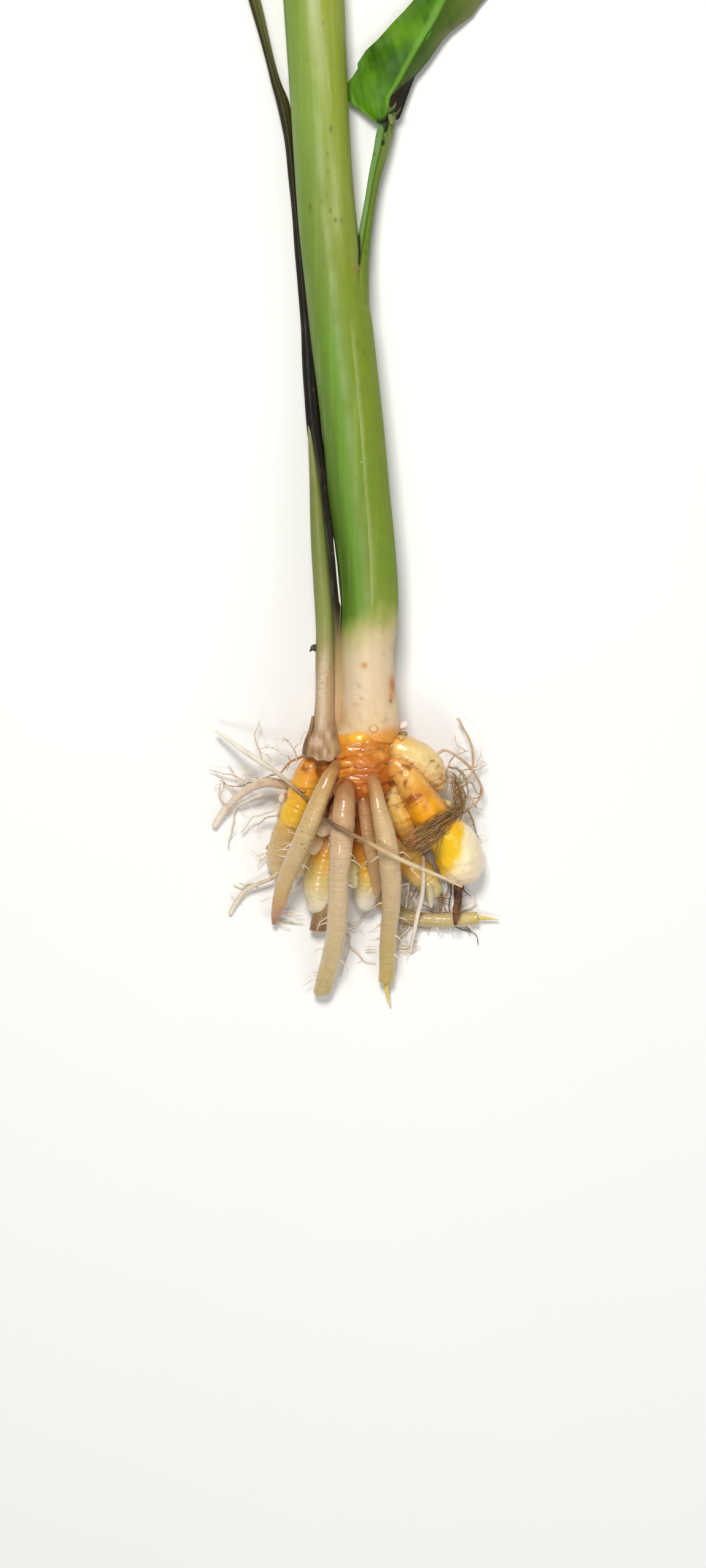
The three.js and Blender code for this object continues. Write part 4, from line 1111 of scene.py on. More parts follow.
FIBROUS_ROOTS = {
    "left": fleshy(
        [(-19, -4.6, 17, 1.9), (-24, -4.5, 16, 1.8), (-29.7, -3.7, 13, 1.75), (-35.4, -5.3, 9.4, 1.5),
         (-41, -8.9, 6.4, 1.3), (-45.8, -13.7, 4, 1.25), (-49.8, -19.6, 2.2, 1.15)],
        [(0, 190, 144, 104), (0.3, 216, 190, 162), (0.7, 228, 208, 186), (1, 238, 226, 208)]),
    "upper_left": fleshy(
        [(-14.2, -11.2, 20.5, 0.5), (-14.5, -10.5, 25, 0.5), (-20, -5.7, 25, 0.55), (-25.3, -0.9, 22, 0.7),
         (-31.3, 3.1, 18, 0.95), (-39.4, 8.4, 12.5, 0.95), (-44, 11.8, 9.4, 0.8), (-49, 15.2, 6, 0.65)],
        [(0, 122, 88, 48), (0.28, 160, 130, 78), (0.36, 218, 206, 176), (0.6, 234, 226, 204),
         (1, 244, 238, 220)]),
    "lower_left": fleshy(
        [(-24, -33, 7.5, 0.7), (-28, -38.6, 6, 0.8), (-33, -41, 4.6, 0.8), (-38.2, -43.5, 3.4, 0.85),
         (-41.4, -47.5, 2.2, 0.95), (-44.2, -52.3, 1.3, 0.75)],
        [(0, *TAN), (0.4, 216, 198, 170), (1, 232, 220, 198)]),
    "crossing": fleshy(
        [(-5, -8, 21, 0.6), (-7.2, -12, 25, 0.6), (-7.9, -15.6, 32, 0.62), (-8, -17, 38, 0.66),
         (-5.6, -18.9, 41.9, 0.8), (-1, -21.4, 43, 0.86), (6.4, -25, 42, 0.9), (13.7, -29, 39.4, 0.9),
         (20.9, -32.6, 34, 0.84), (28.9, -36.2, 25, 0.74), (35.4, -39, 19.8, 0.62), (41.3, -42, 16.6, 0.4)],
        [(0, 70, 44, 26), (0.28, 84, 56, 34), (0.38, 140, 102, 64), (0.46, 196, 160, 108),
         (0.56, 232, 206, 160), (0.8, 240, 216, 176), (1, 222, 190, 138)]),
    "flat": fleshy(
        [(27.3, -31.4, 12, 0.7), (27.4, -38, 13.6, 0.78), (26.9, -46, 11, 0.8), (25.4, -52.5, 8.4, 0.8),
         (23.9, -60, 4.8, 0.8), (22.9, -66.4, 1.6, 0.6)],
        [(0, *TAN), (0.3, *PALE), (1, 238, 228, 210)]),
    "hooped": fleshy(
        [(31, 5.6, 20, 0.5), (35, 8, 17, 0.5), (41.4, 4.7, 13, 0.5), (45.8, 0.3, 10, 0.48),
         (48.6, -4.6, 8, 0.46), (49.3, -7.4, 7.5, 0.44), (47.6, -10.6, 7.5, 0.42), (42.6, -15, 8.5, 0.36)],
        [(0, *TAN), (0.4, 202, 170, 140), (1, 188, 152, 110)]),
    "upper_right": fleshy(
        [(35, -3.4, 16, 0.5), (41.4, -3.7, 14.4, 0.5), (44.9, -0.6, 12.6, 0.48), (45.8, 5.5, 11, 0.46),
         (44.8, 11.2, 9, 0.42), (42.4, 16.2, 6, 0.36), (40.8, 20.2, 3, 0.28)],
        [(0, *TAN), (0.5, 190, 156, 114), (1, 206, 178, 140)]),
}

# Hair roots: their radius at the foot, their colour and their route over the ground, as x and y by turns.
LEFT_HAIRS = [
    (0.28, TAN, (-32, 4, -33, 7, -34, 10, -35, 14, -33, 19)), (0.2, TAN, (-29, 4, -30, 6, -33, 8)),
    (0.24, PALE, (-21, 6, -25, 7, -28, 9, -31, 9)), (0.26, TAN, (-19, 4, -20, 8, -22, 11, -24, 13)),
    (0.2, PALE, (-22, 12, -24, 12, -27, 12, -27, 10, -26, 9, -23, 8)),
    (0.24, PALE, (-19, 4, -20, 9, -18, 11, -17, 14, -15, 15)),
    (0.5, (186, 128, 62), (-16, 6, -21, 4, -25, 0)), (0.24, PALE, (-19, 1, -22, 2, -25, 3, -28, 2)),
    (0.34, TAN, (-34, -4, -37, -5, -40, -3, -43, -1, -48, 0, -52, 1)),
    (0.2, TAN, (-43, 0, -44, 2, -45, 3)), (0.26, TAN, (-33, -3, -35, -2, -37, -1, -40, -1)),
    (0.18, TAN, (-36, -1, -37, 1, -40, 2)), (0.28, BROWN, (-35, -4, -37, -4, -40, -5, -44, -5, -48, -3)),
    (0.22, TAN, (-41, -8, -43, -7, -45, -5, -47, -2)),
    (0.22, TAN, (-46, -12, -48, -9, -48, -7, -48, -4, -50, -6)),
    (0.4, PALE, (-25, -2, -27, -1, -31, -2, -34, -4)),
    (0.42, PALE, (-32, -8, -36, -10, -40, -12, -42, -13, -43, -18, -44, -23, -45, -28)),
    (0.34, PALE, (-25, -11, -28, -14, -36, -17, -38, -20, -40, -22)),
    (0.28, TAN, (-26, -16, -31, -17, -33, -19, -36, -20)), (0.2, TAN, (-27, -30, -31, -30, -34, -31)),
    (0.22, TAN, (-28, -28, -31, -31, -33, -33, -34, -35)), (0.22, PALE, (-24, -33, -27, -34, -30, -33)),
    (0.34, PALE, (-34, -42, -37, -41, -40, -43, -43, -42)), (0.24, PALE, (-38, -44, -41, -47, -44, -46)),
    (0.3, PALE, (-21, -45, -18, -42, -16, -39)),
]
LOWER_HAIRS = [
    (0.26, (196, 178, 120), (-26, -55, -21, -56, -17, -56)),
    (0.2, TAN, (-26, -53, -23, -52, -19, -53, -17, -53)), (0.18, TAN, (-27, -54, -25, -57, -22, -58)),
    (0.24, TAN, (-1, -56, 2, -57, 5, -54, 7, -52, 8, -50)), (0.2, PALE, (-1, -58, 2, -59, 4, -58)),
    (0.26, TAN, (-1, -60, 0, -61, 0, -65, -1, -69, -3, -76)),
    (0.24, TAN, (0, -65, 3, -67, 6, -70, 10, -71)), (0.24, PALE, (-12, -36, -10, -36, -8, -36)),
    (0.24, PALE, (-10, -52, -9, -52, -7, -52)),
]
RIGHT_HAIRS = [
    (0.46, PALE, (26, -31, 24, -34, 22, -42, 21, -52, 19, -58)), (0.4, PALE, (18, -42, 22, -41, 27, -37)),
    (0.34, TAN, (20, -47, 24, -44, 29, -46)), (0.46, PALE, (17, -64, 21, -65, 25, -63)),
    (0.42, PALE, (17, -65, 19, -61, 22, -58, 24, -53)), (0.3, PALE, (21, -66, 24, -67, 25, -65)),
    (0.46, BROWN, (33, -41, 35, -46, 34, -51, 35, -55)), (0.34, TAN, (29, -33, 32, -40, 34, -47)),
    (0.36, TAN, (23, -35, 29, -37, 35, -39, 38, -40)), (0.34, PALE, (29, -33, 28, -38, 31, -42, 30, -47)),
    (0.36, TAN, (18, -53, 21, -55, 25, -54)), (0.34, TAN, (21, -46, 20, -50, 22, -55, 21, -61)),
    (0.24, TAN, (18, -42, 20, -41, 23, -40)), (0.28, TAN, (17, -45, 21, -43, 25, -40)),
    (0.3, BROWN, (26, -39, 24, -45, 22, -50)), (0.28, PALE, (17, -61, 20, -57, 22, -51)),
    (0.24, TAN, (17, -64, 20, -61, 21, -57, 22, -54)), (0.24, PALE, (18, -66, 21, -67, 23, -67)),
    (0.2, PALE, (18, -64, 22, -64, 26, -64)), (0.2, TAN, (6, -66, 9, -66, 10, -66)),
    (0.5, BROWN, (33, -43, 34, -49, 34, -52, 37, -52)), (0.34, PALE, (41, -51, 45, -50, 47, -48)),
    (0.3, PALE, (27, -55, 31, -57, 37, -59)),
    (0.26, (92, 84, 74), (38, -57, 41, -58, 45, -59, 47, -60, 48, -64)),
    (0.24, (136, 126, 108), (42, -43, 44, -45, 45, -46)),
    (0.3, (196, 170, 120), (20, -34, 23, -39, 22, -44, 24, -49, 22, -54)),
    (0.34, OLIVE, (25, -30, 24, -36, 26, -42, 25, -47)), (0.3, TAN, (31, -34, 29, -40, 31, -46, 30, -51)),
    (0.34, BROWN, (36, -38, 37, -43, 35, -48, 37, -53)),
    (0.3, (110, 78, 50), (38, -39, 38, -44, 37, -50, 39, -55)),
    (0.3, (188, 164, 124), (19, -50, 23, -51, 27, -49, 32, -51, 35, -50)),
    (0.24, BROWN, (19, -56, 24, -57, 29, -58, 31, -57)), (0.26, TAN, (30, -47, 34, -46, 37, -47, 40, -47)),
    (0.2, TAN, (24, -60, 28, -58, 30, -60)), (0.26, (176, 142, 96), (21, -36, 26, -38, 32, -37, 35, -38)),
]
UPPER_RIGHT_HAIRS = [
    (0.26, TAN, (45, 2, 47, 2, 48, 5, 49, 6)), (0.24, TAN, (40, 20, 42, 16)),
    (0.24, BROWN, (49, -6, 48, -9, 43, -10)), (0.24, TAN, (46, -11, 45, -13, 42, -14)),
    (0.34, OLIVE, (44, -14, 46, -18, 47, -22, 48, -25)), (0.3, PALE, (44, -22, 47, -23, 49, -25)),
    (0.3, TAN, (36, 1, 38, 5, 41, 7, 44, 8)), (0.26, TAN, (40, -2, 43, 1, 47, 1, 51, 3)),
    (0.24, BROWN, (41, -6, 45, -4, 48, -8, 50, -7)), (0.26, TAN, (40, -8, 45, -9, 47, -13, 50, -14)),
    (0.22, TAN, (43, 8, 40, 10, 39, 14)), (0.3, (166, 140, 86), (37, 2, 40, 1, 43, -3, 44, -8, 42, -12)),
    (0.45, (222, 188, 172), (26, -31, 26, -33, 25, -35)),
]
HAIR_WIDTH = 1.25  # a hair root's foot, as a share of the radius in its table


def ground_height(x, y, lift):
    """How far over the ground a hair root hangs: high at the crown, falling with the distance from it."""
    beyond = np.maximum(np.hypot(x - CROWN_X, y + 2) - 14, 0)
    return np.maximum(1.0 + 21.0 * np.exp(-((beyond / 22.0) ** 2)) + lift * np.exp(-beyond / 30.0), 0.6)


def thread(route, foot, tip, colour, draw, sides=5, step=0.6, crook=0.35):
    """A thin root: its route with small crooks from noise, tapering from the foot's radius to the tip's."""
    rows = np.asarray(route, float)
    radii = foot + (tip - foot) * np.linspace(0, 1, len(rows))
    even, along = grow_route(np.column_stack([rows, radii]), step)
    shift = draw.uniform(0, 30, 3)
    wander = np.stack([mottle(even[:, :3] + shift + 11 * k, 2.6) for k in range(3)], axis=-1)
    even[:, :3] += crook * wander * np.minimum(along / 2.0, 1.0)[:, None] * (1, 1, 0.6)
    even[:, 2] = np.maximum(even[:, 2], even[:, 3] + 0.05)
    even[:, 3] *= 1 + 0.25 * mottle(even[:, :3] + shift, 1.4)
    form = limb(even, sides, step, axes=carried_axes, foot=[(0.5, 0.4)], tip=[(0.5, 0.6)])
    form.paint(np.broadcast_to(np.clip(linear(colour) * draw.uniform(0.86, 1.1), 0, 1), form.points.shape))
    form.layers["grain"] = form.layers["grain"] + draw.uniform(0, 50)
    return form


def arc(start, out, bend, reach, shares):
    """Points at those shares of a reach that starts along out and bends over by share squared."""
    return [start + out * reach * t + bend * reach * t * t for t in shares]


def hair_group(name, hairs, draw, twigs=2):
    """Hair roots over the ground, each with a few finer twigs that leave it sideways."""
    forms = []
    for radius, colour, route in hairs:
        flat = np.reshape(route, (-1, 2)).astype(float)
        spatial = np.column_stack([flat, ground_height(*flat.T, draw.uniform(-2.0, 5.0))])
        forms.append(thread(spatial, radius * HAIR_WIDTH, radius * 0.5, colour, draw))
        even, along = grow_route(spatial, 1.0)
        for _ in range(twigs if along[-1] > 6 else 1):
            start = even[draw.integers(len(even) // 3, len(even))]
            way = draw.uniform(0, FULL_TURN)
            reach = draw.uniform(1.6, 4.2)
            out = np.array([math.cos(way), math.sin(way), draw.uniform(-0.5, 0.3)])
            bend = np.array([-math.sin(way), math.cos(way), 0.0]) * draw.uniform(-0.5, 0.5)
            points = arc(start, out, bend, reach, (0, 0.35, 0.7, 1.0))
            forms.append(thread(points, radius * 0.5, radius * 0.25, colour, draw, step=0.5, crook=0.25))
    add_piece(name, gather(forms), "fibrous_root_skin")


def build_fibrous_roots():
    """The longer thin roots, each a narrow limb with a fleshy root's skin at half its size."""
    for seed, (name, item) in enumerate(FIBROUS_ROOTS.items()):
        form = limb(item["route"], sides=14, step=0.45, axes=carried_axes, skin=root_skin(seed + 20, 0.5))
        form.paint(shade(form.along / form.length + 0.06 * mottle(form.points, 5), item["stops"]))
        piece = "fibrous_root_" + name
        add_piece(piece + "_skin", form, "fibrous_root_skin", piece)


ROOTLET_COUNTS = {"left": 9, "centre": 12, "right": 13, "low": 10, "rear": 3, "stub": 4}


def build_rootlets(draw):
    """Short white side roots on the fleshy roots, most of them out of either side."""
    forms = []
    for name, count in ROOTLET_COUNTS.items():
        rows, _, tangent, side, over = framed(STORAGE_ROOTS[name]["route"], 0.5)
        places = [
            (
                draw.uniform(0.3, 0.97),
                draw.choice([0.0, math.pi]) + draw.uniform(-0.7, 0.7),
                draw.uniform(1.6, 4.8),
            )
            for _ in range(count)
        ]
        for share, angle, reach in places:
            j = int(share * (len(rows) - 1))
            out = side[j] * math.cos(angle) + over[j] * math.sin(angle)
            start = rows[j, :3] + out * (rows[j, 3] - 0.3)
            droop = tangent[j] * draw.uniform(0.2, 0.9) + np.array([0, 0, -0.25])
            points = arc(start, out, droop, reach, (0, 0.3, 0.65, 1.0))
            forms.append(thread(points, draw.uniform(0.2, 0.32), 0.12, PALE, draw, step=0.5, crook=0.3))
    add_piece("side_rootlets", gather(forms), "fibrous_root_skin")


TUFT_STRANDS = 126
LOOSE_FIBRES = 30
TUFT_BROWNS = [(158, 116, 60), (132, 98, 48), (184, 144, 86), (108, 80, 38), (206, 170, 112)]
LOOSE_BROWNS = [(140, 112, 62), (158, 138, 88)]
STRAY_BROWN = (146, 126, 78)

# The stray strands that cross the bulb: the radius, and the route as x, y and z by turns.
STRAY_STRANDS = [
    (0.34, (39.6, -8.6, 18, 37.3, -14.2, 22.5, 34.6, -19.6, 24.4, 33, -24, 24, 31.8, -29.6, 20,
            31.4, -35, 14)),
    (0.2, (40.6, -11, 17, 38.8, -16.4, 21.6, 36.6, -20.4, 23.6, 33.4, -23.6, 24.4, 28.8, -26.8, 23,
           25.6, -28, 20)),
    (0.18, (41.8, -9.4, 15, 41.4, -15.6, 17.6, 38.6, -20.2, 22, 35.4, -21.8, 23.8, 33.4, -26.8, 22.8,
            33, -31, 18.6)),
    (0.24, (38.6, -3, 18, 42.6, -7.6, 14, 42.2, -14, 14.6, 39.6, -19, 20.6)),
    (0.5, (34.8, 0.6, 18, 38.4, -0.4, 17.6, 40.4, -4, 16.6, 41, -9, 16)),
    (0.16, (36.2, -4.6, 19, 35, -10, 22.4, 37, -15.8, 22.6, 36.4, -19.4, 24)),
]


def tuft_route(draw):
    """A strand of the bundle: a run through up to five points, the last of them spread along the open end."""
    spread = draw.uniform(0, 1) ** 0.9
    across = draw.normal(0, 1.25)
    early = draw.uniform(0, 1)
    low, dip = 0.7 * across, 3.4 * spread
    points = [
        (38.8 + 0.6 * across + 1.4 * early, -1.0 - 8.5 * early, 17.5 + draw.uniform(-1.5, 1.5)),
        (40.6 + 0.4 * across, -12.2 - 1.8 * spread, 18.2 + draw.uniform(-0.8, 1.4)),
        (32.4 + 0.8 * across + 1.6 * spread, -15.6 + low - 7.2 * spread,
         27.8 + draw.uniform(-0.3, 1.0) - dip),
        (25.6 + across + 3.0 * spread, -19.4 + low - 8.4 * spread, 27.2 + draw.uniform(-1.2, 0.8)),
        (17 + 3.5 * draw.random() + 3 * spread, -22.6 - 10 * spread + 1.1 * across,
         24.6 + draw.uniform(-1.6, 1.4)),
    ]
    points = np.array(points[draw.integers(3) // 2 :])
    points = points[: len(points) - (1 if draw.random() < 0.3 else 0)]
    return points + draw.normal(0, 0.55, points.shape) * (1, 1, 0.5)


def build_fibre_tuft(draw):
    """The brown fibres caught over the bulb: a loose bundle that bends across it and fans out, short fibres
    that hang beside it, and a few stray strands."""
    forms = []
    for _ in range(TUFT_STRANDS):
        points = tuft_route(draw)
        colour = TUFT_BROWNS[draw.integers(5)]
        radius = draw.uniform(0.055, 0.13)
        forms.append(thread(points, radius, radius * 0.6, colour, draw, sides=4, step=0.9, crook=0.9))
    for _ in range(LOOSE_FIBRES):
        x, y = draw.uniform(37.4, 42.4), draw.uniform(-13.0, 1.0)
        fall, lean = draw.uniform(3.0, 9.0), draw.uniform(-1.6, 2.6)
        points = [(x + lean * t, y - fall * t, 17.5 - 2.5 * t + 2 * t * (1 - t)) for t in (0, 0.3, 0.6, 1.0)]
        colour = LOOSE_BROWNS[draw.integers(2)]
        forms.append(thread(points, 0.16, 0.08, colour, draw, sides=4, step=1.0, crook=0.6))
    for radius, route in STRAY_STRANDS:
        forms.append(thread(np.reshape(route, (-1, 3)), radius, radius * 0.6, STRAY_BROWN, draw, crook=0.3))
    add_piece("fibre_tuft", gather(forms), "fibrous_root_skin")


# ---- The main shoot and its outer leaf ----

STEM_ROUTE = [
    (7, 11, 22, 10.4), (7.2, 15, 22, 11), (7.4, 20, 21.9, 10.9), (7, 31, 21.5, 9.9), (6.5, 42, 21, 9.6),
    (6.6, 62, 20.2, 9.6), (5, 82, 19.3, 9.9), (2.7, 102, 18.5, 10.3), (0.8, 122, 17.7, 10.4),
    (-1.5, 142, 17, 10.5), (-3.6, 160, 16.3, 10.6), (-5.8, 182, 15.4, 10.7), (-7.9, 200, 14.6, 10.5),
    (-9.7, 223, 13.5, 10.3), (-11.3, 251, 12.5, 10.5), (-13.1, 283, 11.5, 11), (-14, TRIM_Y, 11.3, 11.1),
]
STEM_STEP = 0.9

# Colours up the shoot on its left and right sides, as (height, display colour). The left side's greens are
# its own bluer green darkened with painted shade.
STEM_LEFT_SHADED = [
    (10, 220, 186, 140), (17, 220, 190, 146), (30, 218, 196, 166), (42, 208, 190, 152),
    (49, 184, 176, 120), (53, 146, 158, 78), (57.5, 88, 120, 32), (72, 74, 104, 22), (100, 80, 112, 26),
    (150, 98, 128, 38), (200, 112, 138, 52), (240, 122, 150, 60), (300, 122, 150, 62),
]
STEM_RIGHT = [
    (10, 220, 186, 140), (18, 222, 192, 150), (40, 218, 194, 160), (50, 208, 188, 142), (57, 162, 164, 88),
    (61.5, 124, 144, 54), (80, 112, 136, 40), (120, 112, 138, 38), (165, 120, 140, 40),
    (190, 126, 142, 42), (240, 138, 154, 46), (300, 148, 158, 60),
]
SHEATH_TONE = [
    (20, 222, 192, 150), (38, 218, 194, 160), (50, 208, 188, 142), (57, 162, 164, 88),
    (61.5, 124, 142, 52), (73, 116, 138, 44), (100, 114, 136, 40), (130, 116, 138, 40),
    (160, 118, 137, 39), (180, 122, 140, 41), (192, 124, 141, 42),
]

# The edges of the outer leaf's sheath and of the sheath inside it, as (height, degrees about the stem).
SHEATH_FRONT = [
    (20, 95), (45, 91), (62, 86), (80, 81), (100, 76), (113, 75), (132, 72), (149, 70), (162, 68), (172, 60),
    (183, 42), (187, 30),
]
SHEATH_BACK = [(20, -150), (150, -150), (165, -140), (175, -112), (184, -62), (187, -50)]
INNER_EDGE = [(184, 66), (212, 58), (230, 62), (248, 68), (284, 82), (300, 84)]

PETIOLE_ROUTE = [
    (4.0, 160, 16.5, 2.6, 5.5), (4.2, 168, 16.4, 3.0, 5.9), (4.1, 174, 16.2, 3.3, 5.6),
    (4.0, 180, 15.8, 3.4, 5.2), (4.4, 186, 15.2, 2.9, 4.3), (5.2, 191, 14.4, 2.45, 3.4),
    (6.1, 199, 13, 2.25, 2.5), (8, 211, 11.6, 2.0, 2.1), (9.4, 219, 10.6, 2.15, 2.1),
    (12, 230, 9, 2.75, 2.2), (13.2, 235.6, 8.3, 3.0, 2.2), (14.8, 240.4, 8, 2.4, 1.8),
    (15.8, 243, 8.2, 1.5, 1.1),
]
MIDRIB = [
    (12.4, 239.4, 9), (14.2, 244.6, 10), (14.8, 248.8, 10.4), (18.4, 254.6, 11), (22.6, 262, 12),
    (27, 269.4, 12.6), (31.6, 277, 12.6), (35, 284, 12.2), (43.6, TRIM_Y, 11),
]
LEFT_EDGE = [
    (10.9, 239.4, 8.4), (6.2, 243.1, 7.2), (2.4, 246.1, 6.2), (-0.4, 248.6, 5.4), (-1.6, 252, 5.2),
    (-0.3, 255.6, 5.4), (1.4, 257.5, 5.8), (3.3, 260.6, 6.4), (3.1, 262.2, 6.6), (6.2, 267.2, 6.4),
    (10.7, 271.6, 6), (15.5, 277, 5.6), (20.3, 282, 5.2), (26, 288.6, 4.4), (34.6, TRIM_Y, 3.4),
]
RIGHT_EDGE = [
    (17.8, 241.4, 5.6), (18.7, 242.2, 5.2), (20.4, 246.8, 5), (22.2, 252, 5.2), (24.4, 257.6, 5.8),
    (26.8, 260.3, 6), (29.8, 264.1, 6), (32.3, 267.8, 5.8), (34.7, 271.2, 5.4), (37.4, 274.2, 5),
    (41.8, 277.6, 4.4), (45.6, 280.7, 3.8), (48.2, 284.4, 3.2), (60, TRIM_Y, 2),
]
BLADE = 0.32
PETIOLE_TONE = [
    (165, 118, 138, 40), (195, 98, 122, 32), (220, 94, 120, 36), (238, 90, 110, 40), (252, 84, 114, 30),
]
RIGHT_BLADE_TONE = [
    (240, 84, 106, 34), (261, 66, 94, 22), (270, 74, 102, 26), (284, 92, 112, 42), (300, 98, 118, 48),
]
MIDRIB_TONE = [(260, 84, 132, 34), (268, 94, 144, 44), (278, 100, 150, 50), (298, 106, 154, 56)]
VEIN_GAP = 1.7

# The shreds at the blade's foot: x, y, z, length, width, turn, lean and colour. The darkest colours are
# painted shade of the fold they hang in.
TORN_FLAPS = [
    (15.7, 238.6, 11.4, 6.4, 2.0, 0.5, -0.22, (112, 128, 68)),
    (12.9, 234.2, 11.0, 3.8, 0.9, 2.2, 0.25, (112, 146, 74)),
    (12.6, 240.4, 11.4, 3.2, 1.5, -2.2, 0.4, (40, 60, 18)),
    (13.8, 241.8, 11.6, 3.8, 1.6, 1.8, 0.9, (34, 52, 16)),
    (15.6, 243.6, 11.4, 4.4, 1.3, 1.2, 0.3, (104, 120, 60)),
    (13.2, 236.2, 10.6, 2.6, 0.9, 2.8, 0.2, (30, 48, 14)),
    (16.9, 242.2, 10.4, 4.6, 1.0, -1.4, 0.5, (96, 106, 60)),
]

# Orange-brown stains on the pale base: x, y, size across, size up, strength.
BASE_STAINS = [
    (5.6, 38.6, 1.1, 1.2, 0.9), (15.8, 31.6, 1.3, 3.4, 0.95), (15.4, 27.4, 1.0, 2.4, 0.8),
    (3.6, 31.4, 0.8, 0.6, 0.6), (4.6, 26.9, 0.7, 0.6, 0.55), (2.6, 24.4, 1.3, 0.6, 0.35),
    (9.6, 21.2, 0.8, 0.4, 0.35), (12.4, 18.2, 1.0, 0.6, 0.4), (14.7, 55.2, 0.5, 0.3, 0.3),
    (12.6, 43, 0.5, 0.5, 0.3),
]

# Brown marks on the shoot and on the sheath, in the same form.
STEM_MARKS = [
    (15.2, 25.7, 0.6, 0.6, 1.0), (13.5, 19.6, 0.5, 0.45, 0.7), (-6.6, 234.8, 0.55, 1.3, 0.8),
    (-7.8, 225.5, 0.35, 1.0, 0.75), (-10.6, 220, 0.4, 0.4, 0.5), (-7.7, 219, 0.4, 0.6, 0.6),
    (-9.8, 208.2, 0.6, 0.5, 0.6), (-14.2, 206, 0.4, 1.5, 0.8), (-6.8, 204.6, 0.6, 0.8, 0.8),
    (-5.0, 201.2, 0.6, 0.8, 0.85), (-2.8, 201, 0.35, 1.3, 0.9), (-1.9, 222.1, 0.7, 0.25, 0.5),
    (-8.2, 210.2, 0.4, 0.6, 0.55), (-1.6, 232, 0.35, 0.4, 0.6), (-9.2, 185, 0.5, 1.0, 0.35),
    (-5.3, 163.3, 0.7, 0.6, 0.4), (-15.2, 260, 0.4, 0.9, 0.35), (-9.6, 273.5, 0.4, 0.8, 0.5),
    (-8.4, 267, 0.35, 0.9, 0.4),
]

SHEATH_MARKS = [
    (3.1, 183.6, 1.2, 0.8, 0.55), (11.2, 54.4, 0.3, 0.3, 0.5), (3.2, 156, 0.6, 0.8, 0.4),
    (5.4, 153, 0.5, 0.6, 0.4), (3.6, 148, 0.4, 0.6, 0.35), (6.2, 161, 0.4, 0.5, 0.3),
]

def at_height(y, stops):
    """A straight-line value between stops of (height, value)."""
    return np.interp(y, *zip(*stops))


def signed_degrees(a):
    """An angle between 0 and a full turn, as degrees between -180 and 180."""
    return np.degrees(np.where(a > math.pi, a - FULL_TURN, a))


def fine_ribs(place):
    """The shoot's shallow ribs, as extra radius."""
    return 0.05 * mottle(place, (1.1, 1.1, 60)) + 0.03 * mottle(place + 5, (0.6, 0.6, 30))


def stem_skin(s, a, centre):
    """Extra radius of the shoot: shallow ribs, the step down across the inner sheath's edge, the folds where
    the shoot spreads on to the crown, and a slow unevenness."""
    y = centre[..., 1]
    place = about(10, a, s)
    degrees = signed_degrees(a)
    edge = ease(1.2, -1.2, degrees - at_height(y, INNER_EDGE))
    step = 0.3 * edge * ease(-100, -40, degrees) * ease(176, 190, y)
    folds = 0.26 * mottle(place + (0, 0, 0.9) * place[..., :1], (2.4, 2.4, 1.1)) * bump(y, 23, 8)
    return fine_ribs(place) + 0.16 * mottle(place, (9, 9, 30)) + step + folds


def front_marks(points, marks, front):
    """Brown marks on the side that faces up: for each, exp(-(dx/w)^2 - (dy/h)^2), ragged by noise."""
    ragged = 1 + 0.5 * mottle(points, 0.7)
    total = np.zeros(len(points))
    for x, y, wide, tall, strength in marks:
        away = ((points[:, 0] - x) / wide) ** 2 + ((points[:, 1] - y) / tall) ** 2
        total = np.maximum(total, strength * np.exp(-away * ragged))
    return total * front


def stain_coat(points):
    """The coat of stains on the pale base."""
    return 190, 118, 36, np.clip(front_marks(points, BASE_STAINS, points[:, 2] > 20), 0, 1)


def axil_coats(points):
    """The coats of painted shade in the slit where the leaf's stalk parts from the shoot, and of the small
    node below it.
    """
    x, y = points[:, 0], points[:, 1]
    middle = np.interp(y, [184, 190, 198], [3.5, 3.9, 3.5])
    # painted shade: the dark slit between the stalk and the shoot
    slit = np.clip(1.3 * bump(x, middle, 0.55) * ease(184, 187, y) * ease(200, 195, y), 0, 1)
    return (34, 30, 12, 0.92 * slit), (150, 104, 60, 0.6 * bump(x, 3.0, 1.3) * bump(y, 183.6, 0.9))


def green_noise(points):
    """The shoot's broad unevenness, and how far its tones shift up and down."""
    return rough(points, (7, 30, 7)), 2.6 * mottle(points, (4, 9, 4)) + 1.1 * mottle(points, (1.4, 8, 1.4))


def stem_tint(y, degrees, points):
    """The shoot's colour: its left tones, darkened with painted shade, blended into its right tones across
    the front, with pale streaks, painted highlight along its crest and painted shade low on its left flank.
    """
    broad, shift = green_noise(points)
    side = ease(126 + 8 * broad, 70 + 8 * broad, degrees) * ease(-178, -120, degrees)
    edge = at_height(y, INNER_EDGE)
    upper = ease(188, 206, y)
    pale = bump(degrees, edge + 9, 9 + 4 * broad) * upper * (0.7 + 0.4 * broad)
    streak = ease(0.1, 0.8, mottle(points, (1.1, 46, 1.1))) * ease(50, 70, y)
    return dye(
        # the left tones carry painted shade on that side of the shoot
        mix(shade(y + shift, STEM_LEFT_SHADED), shade(y + shift, STEM_RIGHT), side),
        # painted highlight: a brighter green band just left of the crest
        (108, 156, 44, 0.5 * bump(degrees, 108 + 6 * broad, 18) * ease(52, 62, y) * ease(190, 150, y)),
        # painted highlight along the crest beside the inner sheath's edge, with that edge's own paler margin
        (164, 174, 110, np.clip(pale, 0, 1)),
        (118, 136, 46, 0.35 * bump(degrees, edge, 1.2) * upper),
        (158, 178, 96, 0.22 * streak),
        (228, 150, 46, 0.9 * ease(1.6, -1.8, over_base_edge(points, 1.2 * broad))),
        # painted shade: tan low on the left flank, beside the side shoot
        (176, 124, 76, 0.55 * ease(150, 178, np.abs(degrees)) * ease(60, 40, y)),
        stain_coat(points),
        *axil_coats(points),
    )


